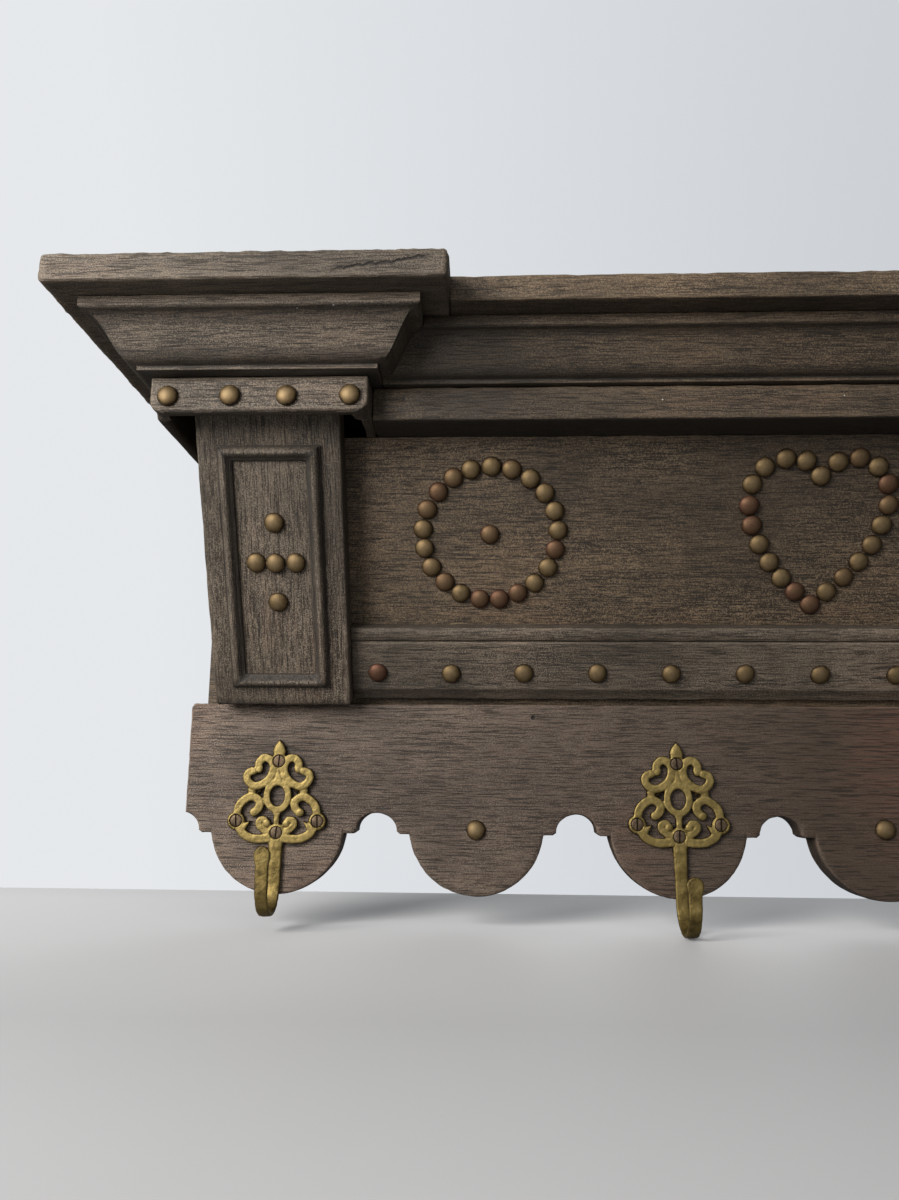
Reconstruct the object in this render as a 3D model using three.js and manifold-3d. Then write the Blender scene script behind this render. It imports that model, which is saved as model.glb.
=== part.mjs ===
// Wall hook rack: a scalloped hook board under a sloping, brass-tacked frieze with two pilasters,
// moulded capitals, a moulded cornice and a shelf top. Four cast brass hooks are screwed to it.
//
// Millimetres, +Z up. X runs along the rack, the front faces -Y and the wall plane is Y = 0.
// The origin is on the back face of the hook board, at mid length and mid height of its plain band.

import * as THREE from 'three';
import { mergeVertices } from 'three/addons/utils/BufferGeometryUtils.js';
import Module from 'manifold-3d';

const wasm = await Module();
wasm.setup();

// ---------------------------------------------------------------- driving dimensions

const GAP = 0.3; // clearance between touching pieces

// Hook board
const PITCH = 120; // scallop to scallop
const SCALLOPS = 8;
const BOARD_THICK = 19;
const BOARD_TOP = 33.5;
const BOARD_STEP = -44.5; // level of the flats between scallop and arch
const BOARD_OVERHANG = 57; // first scallop's middle to the board's end
const SCALLOP_RADIUS = 40.6;
const SCALLOP_HALF = 40.3; // half the scallop's width at the step
const SCALLOP_DROP = 35.5;
const ARCH_HALF = 12;
const ARCH_RISE = 12.3;
const SHOULDER = 3; // rounding of the board's top corners

// Sloping front: frieze board, pilasters and rail lean forward by this angle
const SLOPE = THREE.MathUtils.degToRad(25.2);
const SLOPE_FOOT_Y = -31; // front lower edge of the pilasters
const SLOPE_FOOT_Z = 31;
const FRIEZE_DEPTH = 17.6; // pilaster face to frieze face
const FRIEZE_THICK = 13;
const FRIEZE_HALF = 457;
const PILASTER_X = 417;
const PILASTER_HALF = 41.3;
const RAIL_HEIGHT = 46.5;
const RAIL_THICK = 8.6;

// Raised moulding on each pilaster
const FRAME_HALF_OUT = 29.3;
const FRAME_HALF_IN = 22.4;
const FRAME_LOW_OUT = 12;
const FRAME_LOW_IN = 19;
const FRAME_HIGH_IN = 150;
const FRAME_HIGH_OUT = 156;
const FRAME_THICK = 4;

// Cornice, capitals and top; fronts are given as distances from the wall
const TOP_Z = 247.6;
const TOP_THICK = 14.6;
const CORNICE_FRONT = 144.5;
const CORONA_FRONT = 169;
const CORONA_HALF = 103.5;
const SOFFIT = 14.5; // step back from a top edge to the fillet below it
const MOULD_LOW_Z = 202.3; // underside of the cyma mouldings
const FASCIA_LOW_Z = 182.4;
const FASCIA_FRONT = 107;
const BLOCK_FRONT = 123.5;
const BLOCK_HALF = 59.5;
const BLOCK_LOW_Z = 181.5;
const BLOCK_BOARD = 8; // thickness of the tacked front board
const BLOCK_SIDE = 6; // thickness of its side returns
const BLOCK_RETURN_Y = -84; // back end of the short inner return
const CORNICE_DEPTH = 52; // front to back of the fascia and the cyma strip

// Back
const BACK_THICK = 8;
const BACK_HALF = 470;
const CHEEK_THICK = 10;
const HANGER_X = 380;
const HANGER_Z = 165;
const HANGER_HALF = 30;
const HANGER_WIDTH = 24;
const HANGER_THICK = 2;
const HANGER_SCREW_X = 23;

// Tacks and studs
const TACK_RADIUS = 5.8;
const TACK_HEIGHT = 3.8;
const WEB = 0.8; // width of the thin web that joins the tacks of one motif
const WEB_THICK = 0.4;
const STUD_Z = -41.5; // studs between the hooks
const STUD_LIFT = 2.9; // the second stud sits this much higher than the rest

// Hooks
const HOOK_SCREW_Z = -44; // lowest plate screw above the origin's level
const PLATE_THICK = 3;
const SCREW_HEAD = 3.7;
const SHANK = 1.8;
const SHANK_LENGTH = 13;

// ---------------------------------------------------------------- materials

const material = (color, roughness, metalness) =>
  new THREE.MeshStandardMaterial({ color, roughness, metalness });

const OAK = [0x54493f, 0.75, 0];
const OAK_RED = [0x5a463c, 0.72, 0];
const BRASS = [0x8c7235, 0.42, 0.9];
const TACK = [0x7d6138, 0.4, 0.9];
const SCREW = [0x5d4736, 0.55, 0.7];
const IRON = [0x4b4845, 0.6, 0.8];

const rack = new THREE.Group();
const slope = new THREE.Group();
slope.position.set(0, SLOPE_FOOT_Y, SLOPE_FOOT_Z);
slope.rotation.x = SLOPE;
rack.add(slope);

function piece(parent, name, geometry, look, x = 0, y = 0, z = 0) {
  const mesh = new THREE.Mesh(geometry, material(...look));
  mesh.name = name;
  mesh.position.set(x, y, z);
  parent.add(mesh);
  return mesh;
}

// ---------------------------------------------------------------- solids, joins and cuts

function solid(geometry) {
  const bare = geometry.clone();
  bare.deleteAttribute('normal');
  bare.deleteAttribute('uv');
  const merged = mergeVertices(bare, 1e-4);
  return new wasm.Manifold(new wasm.Mesh({
    numProp: 3,
    vertProperties: new Float32Array(merged.attributes.position.array),
    triVerts: new Uint32Array(merged.index.array),
  }));
}

function geometryOf(body) {
  const mesh = body.getMesh();
  const geometry = new THREE.BufferGeometry();
  const position = new Float32Array(mesh.vertProperties);
  geometry.setAttribute('position', new THREE.BufferAttribute(position, 3));
  geometry.setIndex(new THREE.BufferAttribute(new Uint32Array(mesh.triVerts), 1));
  geometry.computeVertexNormals();
  return geometry;
}

const join = (geometries) =>
  geometryOf(geometries.map(solid).reduce((whole, next) => whole.add(next)));

const cut = (geometry, cutters) =>
  geometryOf(cutters.map(solid).reduce((whole, next) => whole.subtract(next), solid(geometry)));

const shapeOf = (points) => new THREE.Shape(points.map(([a, b]) => new THREE.Vector2(a, b)));

// An outline in (y, z), run along X from x0 to x1
function runX(points, x0, x1) {
  const geometry = new THREE.ExtrudeGeometry(shapeOf(points), { depth: x1 - x0, bevelEnabled: false });
  const basis = new THREE.Matrix4().makeBasis(
    new THREE.Vector3(0, 1, 0), new THREE.Vector3(0, 0, 1), new THREE.Vector3(1, 0, 0));
  return geometry.applyMatrix4(basis).translate(x0, 0, 0);
}

// A shape in (x, z), run from y0 back to y1
function runY(shape, y0, y1, curveSegments = 8) {
  const geometry = new THREE.ExtrudeGeometry(shape, { depth: y1 - y0, bevelEnabled: false, curveSegments });
  const basis = new THREE.Matrix4().makeBasis(
    new THREE.Vector3(1, 0, 0), new THREE.Vector3(0, 0, 1), new THREE.Vector3(0, -1, 0));
  return geometry.applyMatrix4(basis).translate(0, y1, 0);
}

// An outline in (x, y), run up from z0 to z1
const runZ = (points, z0, z1) =>
  new THREE.ExtrudeGeometry(shapeOf(points), { depth: z1 - z0, bevelEnabled: false }).translate(0, 0, z0);

// A rod along Y from y0 back to y1
function rodY(radius, x, z, y0, y1, sides = 8) {
  const rod = new THREE.CylinderGeometry(radius, radius, y1 - y0, sides);
  return rod.translate(x, (y0 + y1) / 2, z);
}

// A turned piece on an axis along Y; the outline is (radius, distance in front of the base)
function turnedY(outline, sides) {
  const points = outline.map(([radius, front]) => new THREE.Vector2(radius, front));
  return new THREE.LatheGeometry(points, sides).rotateX(Math.PI);
}

// A band of the given width along a smooth line through the points
function band(points, width, steps) {
  const curve = new THREE.CatmullRomCurve3(points.map(([a, b]) => new THREE.Vector3(a, b, 0)));
  const left = [];
  const right = [];
  for (let i = 0; i <= steps; i++) {
    const at = curve.getPoint(i / steps);
    const along = curve.getTangent(i / steps);
    left.push([at.x - along.y * width / 2, at.y + along.x * width / 2]);
    right.unshift([at.x + along.y * width / 2, at.y - along.x * width / 2]);
  }
  return [...left, ...right];
}

const mirrored = (points) => points.map(([a, b]) => [-a, b]).reverse();

// ---------------------------------------------------------------- hook board

const scallopX = (i) => (i - (SCALLOPS - 1) / 2) * PITCH;
const HOOK_X = [0, 2, 5, 7].map(scallopX);
const STUDS = [1, 3, 4, 6].map((k) => [scallopX(k), STUD_Z + (k === 3 ? STUD_LIFT : 0)]);
const PLATE_SCREWS = [['top', 0, 42.3], ['left', -24.6, 6.8], ['right', 24.6, 6.8], ['bottom', 0, 0]];

function hookBoardShape() {
  const end = scallopX(SCALLOPS - 1) + BOARD_OVERHANG;
  const shape = new THREE.Shape();
  const archStart = Math.PI - Math.acos((PITCH / 2 - BOARD_OVERHANG) / ARCH_HALF);
  const archLow = BOARD_STEP + 1.5;
  const rise = ARCH_RISE - 1.5;
  const endZ = archLow + Math.sin(archStart) * rise;
  shape.moveTo(-end, endZ);
  for (let i = 0; i < SCALLOPS; i++) {
    const x = scallopX(i);
    const middle = BOARD_STEP - SCALLOP_DROP + SCALLOP_RADIUS;
    const turn = Math.asin((BOARD_STEP - middle) / SCALLOP_RADIUS);
    const from = i === 0 ? Math.PI - archStart : Math.PI / 2;
    shape.absellipse(x - PITCH / 2, archLow, ARCH_HALF, rise, from, 0, true);
    shape.lineTo(x - PITCH / 2 + ARCH_HALF, BOARD_STEP);
    shape.absarc(x, middle, SCALLOP_RADIUS, Math.PI - turn, 2 * Math.PI + turn, false);
    shape.lineTo(x + PITCH / 2 - ARCH_HALF, BOARD_STEP);
    const to = i === SCALLOPS - 1 ? archStart : Math.PI / 2;
    shape.absellipse(x + PITCH / 2, archLow, ARCH_HALF, rise, Math.PI, to, true);
  }
  shape.lineTo(end, BOARD_TOP - SHOULDER);
  shape.lineTo(end - SHOULDER, BOARD_TOP);
  shape.lineTo(-end + SHOULDER, BOARD_TOP);
  shape.lineTo(-end, BOARD_TOP - SHOULDER);
  shape.closePath();
  return shape;
}

function hookBoard() {
  const bores = [];
  for (const x of HOOK_X) {
    for (const [, u, v] of PLATE_SCREWS) {
      const end = SHANK_LENGTH - BOARD_THICK;
      bores.push(rodY(SHANK + 2 * GAP, x + u, HOOK_SCREW_Z + v, -BOARD_THICK - 1, end, 6));
    }
  }
  return cut(runY(hookBoardShape(), -BOARD_THICK, 0, 6), bores);
}

piece(rack, 'hook_board', hookBoard(), OAK_RED);

// ---------------------------------------------------------------- sloping front

const SIN = Math.sin(SLOPE);
const COS = Math.cos(SLOPE);

// y of the sloping plane that lies depth behind the pilaster faces, at height z
const slopeY = (depth, z) => SLOPE_FOOT_Y + depth / COS - (z - SLOPE_FOOT_Z) * SIN / COS;

// distance up the slope where a point depth behind the pilaster faces reaches height z
const slopeUp = (depth, z) => (z - SLOPE_FOOT_Z - depth * SIN) / COS;

const FRIEZE_LOW_Z = BOARD_TOP + GAP;
const FRIEZE_TOP_Z = FASCIA_LOW_Z - GAP;
const FRIEZE_BACK = FRIEZE_DEPTH + FRIEZE_THICK;
const PANEL_Y = -BACK_THICK - GAP; // nothing in front of the back panel comes nearer the wall than this

const zWherePlaneMeetsPanel = SLOPE_FOOT_Z + (SLOPE_FOOT_Y - PANEL_Y + FRIEZE_BACK / COS) * COS / SIN;
piece(rack, 'frieze_board', runX([
  [slopeY(FRIEZE_DEPTH, FRIEZE_LOW_Z), FRIEZE_LOW_Z],
  [PANEL_Y, FRIEZE_LOW_Z],
  [PANEL_Y, zWherePlaneMeetsPanel],
  [slopeY(FRIEZE_BACK, FRIEZE_TOP_Z), FRIEZE_TOP_Z],
  [slopeY(FRIEZE_DEPTH, FRIEZE_TOP_Z), FRIEZE_TOP_Z],
], -FRIEZE_HALF, FRIEZE_HALF), OAK);

// Rail: bevelled foot, plain face, quirk and bead
const railX = PILASTER_X - PILASTER_HALF - GAP;
const railBack = FRIEZE_DEPTH - GAP;
const railFace = FRIEZE_DEPTH - RAIL_THICK;
const beadArc = [];
for (let i = 0; i <= 6; i++) {
  const angle = -Math.PI / 2 + Math.PI * i / 6;
  beadArc.push([railFace + 1 - 1.6 * Math.cos(angle), RAIL_HEIGHT - 4 + 4 * Math.sin(angle)]);
}
piece(slope, 'rail_moulding', runX([
  [railBack, 0.5],
  [railFace + 4.5, 0.5],
  [railFace, 8.2],
  [railFace, 37.2],
  [railFace + 1.6, 38],
  ...beadArc,
  [railBack, RAIL_HEIGHT],
], -railX, railX), OAK);

const frameShape = new THREE.Shape([
  new THREE.Vector2(-FRAME_HALF_OUT, FRAME_LOW_OUT), new THREE.Vector2(FRAME_HALF_OUT, FRAME_LOW_OUT),
  new THREE.Vector2(FRAME_HALF_OUT, FRAME_HIGH_OUT), new THREE.Vector2(-FRAME_HALF_OUT, FRAME_HIGH_OUT)]);
frameShape.holes.push(new THREE.Path([
  new THREE.Vector2(-FRAME_HALF_IN, FRAME_LOW_IN), new THREE.Vector2(-FRAME_HALF_IN, FRAME_HIGH_IN),
  new THREE.Vector2(FRAME_HALF_IN, FRAME_HIGH_IN), new THREE.Vector2(FRAME_HALF_IN, FRAME_LOW_IN)]));

// ---------------------------------------------------------------- cornice and capitals

// Fillet and cyma of the cornice: (step back from the fillet's face, height above the underside)
const MOULD_TOP_Z = TOP_Z - TOP_THICK - GAP;
const MOULD_HEIGHT = MOULD_TOP_Z - MOULD_LOW_Z;
const CYMA_RUN = 24; // how far the cyma steps back in all
function cymaSteps(run) {
  const steps = [[0, MOULD_HEIGHT], [0, MOULD_HEIGHT - 5.4], [0.06 * run, MOULD_HEIGHT - 6.6]];
  for (let i = 1; i < 8; i++) {
    const t = i / 8;
    const fall = 0.5 - 0.5 * Math.cos(Math.PI * t);
    steps.push([run * (0.06 + 0.9 * t), 2.9 + (MOULD_HEIGHT - 9.5) * (1 - fall)]);
  }
  steps.push([run, 2.6], [run, 0]);
  return steps;
}

// A block whose front and two sides follow the cyma, from the back panel forward
function mouldedBlock(grow) {
  const rings = cymaSteps(CYMA_RUN).map(([back, up]) => {
    const half = CORONA_HALF - SOFFIT - back + grow;
    const front = -(CORONA_FRONT - SOFFIT - back) - grow;
    return [[-half, front], [half, front], [half, PANEL_Y + grow], [-half, PANEL_Y + grow]]
      .map(([x, y]) => [x, y, MOULD_LOW_Z + up]);
  });
  rings[0].forEach((point) => { point[2] += grow; });
  rings.at(-1).forEach((point) => { point[2] -= grow; });
  const positions = rings.flat(2);
  const faces = [0, 1, 2, 0, 2, 3];
  for (let r = 0; r + 1 < rings.length; r++) {
    for (let k = 0; k < 4; k++) {
      const a = 4 * r + k;
      const b = 4 * r + (k + 1) % 4;
      faces.push(a, a + 4, b + 4, a, b + 4, b);
    }
  }
  const low = 4 * (rings.length - 1);
  faces.push(low, low + 2, low + 1, low, low + 3, low + 2);
  const geometry = new THREE.BufferGeometry();
  geometry.setAttribute('position', new THREE.Float32BufferAttribute(positions, 3));
  geometry.setIndex(faces);
  geometry.computeVertexNormals();
  return geometry;
}

const corniceFillet = CORNICE_FRONT - SOFFIT;
const corniceBack = corniceFillet - CORNICE_DEPTH;
const corniceRun = corniceFillet - FASCIA_FRONT - 3;
const corniceMoulding = runX([
  [-corniceBack, MOULD_LOW_Z],
  [-corniceBack, MOULD_TOP_Z],
  ...cymaSteps(corniceRun).map(([back, up]) => [back - corniceFillet, MOULD_LOW_Z + up]),
], -PILASTER_X, PILASTER_X);
const capitalCutters = [-1, 1].map((side) => mouldedBlock(GAP).translate(side * PILASTER_X, 0, 0));
piece(rack, 'cornice_moulding', cut(corniceMoulding, capitalCutters), OAK);

const box = (x0, x1, y0, y1, z0, z1) =>
  new THREE.BoxGeometry(x1 - x0, y1 - y0, z1 - z0).translate((x0 + x1) / 2, (y0 + y1) / 2, (z0 + z1) / 2);

const fasciaX = PILASTER_X - BLOCK_HALF - GAP;
piece(rack, 'cornice_fascia', box(-fasciaX, fasciaX, -FASCIA_FRONT, CORNICE_DEPTH - FASCIA_FRONT,
  FASCIA_LOW_Z, MOULD_LOW_Z - GAP), OAK);

const topX = PILASTER_X - CORONA_HALF - GAP;
piece(rack, 'top_board', box(-topX, topX, -CORNICE_FRONT, 0, TOP_Z - TOP_THICK, TOP_Z), OAK);

const blockTopZ = MOULD_LOW_Z - GAP;
const inner = BLOCK_HALF - BLOCK_SIDE;
const blockBack = BLOCK_BOARD - BLOCK_FRONT;
// Tacked board with one return to the wall on the outer side and a short one to the frieze
const capitalBlock = (side) => {
  const outline = [
    [-BLOCK_HALF, 0], [-BLOCK_HALF, -BLOCK_FRONT], [BLOCK_HALF, -BLOCK_FRONT],
    [BLOCK_HALF, BLOCK_RETURN_Y], [inner, BLOCK_RETURN_Y], [inner, blockBack],
    [-inner, blockBack], [-inner, 0]];
  const points = side < 0 ? outline : mirrored(outline);
  return runZ(points, BLOCK_LOW_Z, blockTopZ);
};

const pilasterOutline = [
  [0, 0],
  [FRIEZE_DEPTH - GAP, 0],
  [FRIEZE_DEPTH - GAP, slopeUp(FRIEZE_DEPTH - GAP, blockTopZ)],
  [0, slopeUp(0, blockTopZ)],
];

const cheekOutline = [
  [PANEL_Y, zWherePlaneMeetsPanel + 2],
  [PANEL_Y, blockTopZ],
  [slopeY(FRIEZE_BACK + GAP, blockTopZ), blockTopZ],
];

// ---------------------------------------------------------------- tacks

const TACK_OUTLINE = [
  [0, 0], [TACK_RADIUS, 0], [0.62 * TACK_RADIUS, 0.8 * TACK_HEIGHT], [0, TACK_HEIGHT]];

const tack = (x, z) => turnedY(TACK_OUTLINE, 7).translate(x, 0, z);

// Tack heads joined by a thin web along the polyline through them
function tackRun(places, closed = false) {
  const parts = places.map(([x, z]) => tack(x, z));
  const ends = closed ? places.length : places.length - 1;
  for (let i = 0; i < ends; i++) {
    const [x0, z0] = places[i];
    const [x1, z1] = places[(i + 1) % places.length];
    parts.push(runY(shapeOf(band([[x0, z0], [x1, z1]], WEB, 1)), -WEB_THICK, 0));
  }
  return join(parts);
}

const RING_X = 291.1;
const RING_UP = 102;
const RING_RADIUS = 39.5;
const RING_TACKS = 21;
const ring = Array.from({ length: RING_TACKS }, (_, i) => {
  const angle = 2 * Math.PI * i / RING_TACKS + 0.06;
  return [RING_RADIUS * Math.cos(angle), RING_RADIUS * Math.sin(angle)];
});

// Heart: evenly spaced tacks along a smooth closed line from the cleft round to the point and back
const HEART_X = 102;
const HEART_UP = 102;
const HEART_TACKS = 22;
const heartHalf = [[0, 33.5], [9, 41.5], [22, 43.5], [34, 36.5], [40, 22], [37, 4], [28.5, -13],
  [16.5, -28], [0, -42.5]];
const heartLine = new THREE.CatmullRomCurve3(
  heartHalf.map(([x, z]) => new THREE.Vector3(x, 0, z)), false, 'centripetal');
const heartRight = heartLine.getSpacedPoints(HEART_TACKS / 2).map((p) => [p.x, p.z]);
const heart = [...heartRight, ...mirrored(heartRight.slice(1, -1))];

const RAIL_TACK_FIRST = 359.5;
const RAIL_TACK_STEP = 44.1;
const RAIL_TACKS_EACH_SIDE = 8;
const RAIL_TACK_UP = 18.4;
const railTacks = [[0, 0]];
for (let i = 0; i < RAIL_TACKS_EACH_SIDE; i++) {
  const x = RAIL_TACK_FIRST - i * RAIL_TACK_STEP;
  railTacks.push([x, 0]);
  railTacks.unshift([-x, 0]);
}
railTacks.sort((a, b) => a[0] - b[0]);

piece(slope, 'rail_tacks', tackRun(railTacks), TACK, 0, railFace - GAP, RAIL_TACK_UP);

const friezeFace = FRIEZE_DEPTH - GAP;
const CROSS_UP = 88.4;
const CROSS_X = 11.7;
const CROSS_Z = 23.3;
const BLOCK_TACK_Z = 190.4;
const BLOCK_TACKS = [[-49.4, 0], [-15.2, 0], [15.2, 0], [49.4, 0]];

function crossTacks() {
  const across = [[-CROSS_X, 0], [0, 0], [CROSS_X, 0]];
  const upright = [[0, -CROSS_Z], [0, 0], [0, CROSS_Z]];
  return join([tackRun(across), tackRun(upright)]);
}

// ---------------------------------------------------------------- left and right

for (const [end, side] of [['left', -1], ['right', 1]]) {
  const x = side * PILASTER_X;
  piece(slope, `pilaster_${end}`, runX(pilasterOutline, -PILASTER_HALF, PILASTER_HALF), OAK, x);
  piece(slope, `pilaster_frame_${end}`, runY(frameShape, -FRAME_THICK - GAP, -GAP), OAK, x);
  piece(rack, `capital_block_${end}`, capitalBlock(side), OAK, x);
  piece(rack, `capital_moulding_${end}`, mouldedBlock(0), OAK, x);
  const corona = box(-CORONA_HALF, CORONA_HALF, -CORONA_FRONT, 0, TOP_Z - TOP_THICK, TOP_Z);
  piece(rack, `corona_${end}`, corona, OAK, x);
  const cheekX = side * (FRIEZE_HALF - CHEEK_THICK / 2);
  piece(rack, `end_cheek_${end}`, runX(cheekOutline, -CHEEK_THICK / 2, CHEEK_THICK / 2), OAK, cheekX);

  piece(rack, `capital_tacks_${end}`, tackRun(BLOCK_TACKS), TACK, x, -BLOCK_FRONT - GAP, BLOCK_TACK_Z);
  piece(slope, `pilaster_tacks_${end}`, crossTacks(), TACK, x + 0.9, -GAP, CROSS_UP);
  piece(slope, `circle_tacks_${end}`, tackRun(ring, true), TACK, side * RING_X, friezeFace, RING_UP);
  piece(slope, `circle_centre_tack_${end}`, tack(0, 0), TACK, side * RING_X, friezeFace, RING_UP);
  piece(slope, `heart_tacks_${end}`, tackRun(heart, true), TACK, side * HEART_X, friezeFace, HEART_UP);
}

STUDS.forEach(([x, z], i) => {
  piece(rack, `board_stud_${i + 1}`, tack(0, 0), TACK, x, -BOARD_THICK - GAP, z);
});

// ---------------------------------------------------------------- back panel and hangers

const HANGER_HOLE = 5;
const HANGER_SLOT = 3;
const HANGER_HOLE_Z = -4;
const HANGER_SLOT_Z = 5;
const POCKET_DEEP = 6; // room for a wall screw's head behind the keyhole
const POCKET_HALF_X = 8;
const POCKET_HALF_Z = 9;
const HANGER_SCREW_LENGTH = 5.6;
const HANGER_SCREW_HEAD = 3.2;

// Round hole for a screw's head, with a narrower round-ended slot above it
function keyholePath() {
  const path = new THREE.Path();
  const corner = Math.acos(HANGER_SLOT / HANGER_HOLE);
  path.moveTo(HANGER_SLOT, HANGER_HOLE_Z + Math.sin(corner) * HANGER_HOLE);
  path.lineTo(HANGER_SLOT, HANGER_SLOT_Z);
  path.absarc(0, HANGER_SLOT_Z, HANGER_SLOT, 0, Math.PI, false);
  path.lineTo(-HANGER_SLOT, HANGER_HOLE_Z + Math.sin(corner) * HANGER_HOLE);
  path.absarc(0, HANGER_HOLE_Z, HANGER_HOLE, Math.PI - corner, 2 * Math.PI + corner, false);
  return path;
}

function hangerPlate() {
  const shape = shapeOf([
    [-HANGER_HALF, -HANGER_WIDTH / 2], [HANGER_HALF, -HANGER_WIDTH / 2],
    [HANGER_HALF, HANGER_WIDTH / 2], [-HANGER_HALF, HANGER_WIDTH / 2]]);
  shape.holes.push(keyholePath());
  const plate = runY(shape, -HANGER_THICK, 0, 6);
  return cut(plate, [-1, 1].map((side) =>
    rodY(HANGER_SCREW_HEAD + GAP, side * HANGER_SCREW_X, 0, -HANGER_THICK - 1, 1)));
}

// Countersunk wood screw along Y: its point is at the base, its slotted head at the given length
function woodScrew(length, head, sides) {
  const turned = turnedY([
    [0, 0], [SHANK, 2.2], [SHANK, length - 2.3], [head, length - 0.8], [0.6 * head, length],
    [0, length]], sides);
  return cut(turned, [box(-0.45, 0.45, -length - 1, 0.9 - length, -head - 1, head + 1)]);
}

const panelPockets = [];
for (const side of [-1, 1]) {
  const x = side * HANGER_X;
  const half = HANGER_HALF + GAP;
  const wide = HANGER_WIDTH / 2 + GAP;
  panelPockets.push(box(x - half, x + half, -HANGER_THICK - GAP, 1, HANGER_Z - wide, HANGER_Z + wide));
  panelPockets.push(box(x - POCKET_HALF_X, x + POCKET_HALF_X, -POCKET_DEEP, 1,
    HANGER_Z - POCKET_HALF_Z, HANGER_Z + POCKET_HALF_Z));
  for (const end of [-1, 1]) {
    panelPockets.push(rodY(SHANK + GAP, x + end * HANGER_SCREW_X, HANGER_Z, -POCKET_DEEP, 1));
  }
}
const backPanel = box(-BACK_HALF, BACK_HALF, -BACK_THICK, 0, FRIEZE_LOW_Z, MOULD_TOP_Z);
piece(rack, 'back_panel', cut(backPanel, panelPockets), OAK);

for (const [end, side] of [['left', -1], ['right', 1]]) {
  const x = side * HANGER_X;
  piece(rack, `hanger_plate_${end}`, hangerPlate(), IRON, x, 0, HANGER_Z);
  ['outer', 'inner'].forEach((place, i) => {
    const screwX = x + side * (i === 0 ? 1 : -1) * HANGER_SCREW_X;
    const screw = woodScrew(HANGER_SCREW_LENGTH, HANGER_SCREW_HEAD, 6).rotateZ(Math.PI);
    piece(rack, `hanger_screw_${end}_${place}`, screw, SCREW, screwX, GAP - POCKET_DEEP, HANGER_Z);
  });
}

// ---------------------------------------------------------------- hooks

// Openwork of the plate in (across, up) from the lowest screw; the left side mirrors the right
const UPPER_LOOP = [[11.7, 37.4], [12.2, 41], [9.2, 44.2], [5.2, 43], [3.3, 38.4], [4.9, 32.6], [9.4, 28.6],
  [14.8, 27.5], [18.9, 31], [18.6, 34.9], [15, 36.6]];
const SIDE_SCROLL = [[13.8, 11.6], [11, 14.6], [10.7, 17.6], [12.4, 19.9], [16.1, 21.1], [20.3, 18.9],
  [23.4, 15], [24.4, 9.6]];
const LOWER_BAND = [[22.6, 3.2], [20.2, -0.5], [15.2, -3.1], [9.6, -3.7], [3.6, -3]];
const LOWER_SCROLL = [[5.9, 5.2], [7.4, 7.6], [10, 7.2], [10.8, 4.8], [8.4, 2], [4.2, 0]];
const LEAF = [[15.7, 7], [17.4, 3.4], [19.2, 0.2], [21.5, 2], [21.8, 5.4]];
const STRAND = 4.4;
const THIN_STRAND = 3.7;
const FINIAL = [[-2.6, 42], [2.6, 42], [4.2, 47.4], [3, 51.6], [0, 55.4], [-3, 51.6], [-4.2, 47.4]];
const NECKS = [
  [[-4.6, 28.6], [4.6, 28.6], [1.4, 40], [-1.4, 40]],
  [[-1.9, 3], [1.9, 3], [3.8, 14.5], [-3.8, 14.5]]];
const STEM_HALF = 4.1;
const STEM_TOP = [[-5.2, 0], [-STEM_HALF, -12], [STEM_HALF, -12], [5.2, 0]];
const OVAL_Z = 21.5;
const OVAL_OUTER = [8.6, 9.9];
const OVAL_OPENING = [4.6, 6.4];
const BOSSES = [[0, 42.3, 5.1], [0, 0, 5.6], [24.6, 6.8, 5.4], [-24.6, 6.8, 5.4]];
const KNOT = [15.7, 24.8, 2.9];
const SIDE_BALL = 2.8;
const LOWER_BALL = 2.6;
const TIP_RADIUS = 4.8;
const CURL_RADIUS = 15.3; // middle of the strip

// Strip that runs down, curls forward and up; drop is its lowest point, tip its front end
function curl(drop, tip) {
  const middleY = -PLATE_THICK / 2 - CURL_RADIUS;
  const middleZ = -drop + CURL_RADIUS + PLATE_THICK / 2;
  const arc = (radius, steps) => Array.from({ length: steps + 1 }, (_, i) => {
    const angle = -Math.PI * i / steps;
    return [middleY + radius * Math.cos(angle), middleZ + radius * Math.sin(angle)];
  });
  const outer = CURL_RADIUS + PLATE_THICK / 2;
  const insideArc = arc(CURL_RADIUS - PLATE_THICK / 2, 8).reverse();
  const outline = [[0, -6], ...arc(outer, 10), [middleY - outer, tip], [middleY - outer + PLATE_THICK, tip],
    ...insideArc, [-PLATE_THICK, -6]];
  const disc = rodY(TIP_RADIUS, 0, tip - 1, middleY - outer, middleY - outer + PLATE_THICK, 12);
  return [runX(outline, -STEM_HALF, STEM_HALF), disc];
}

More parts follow.
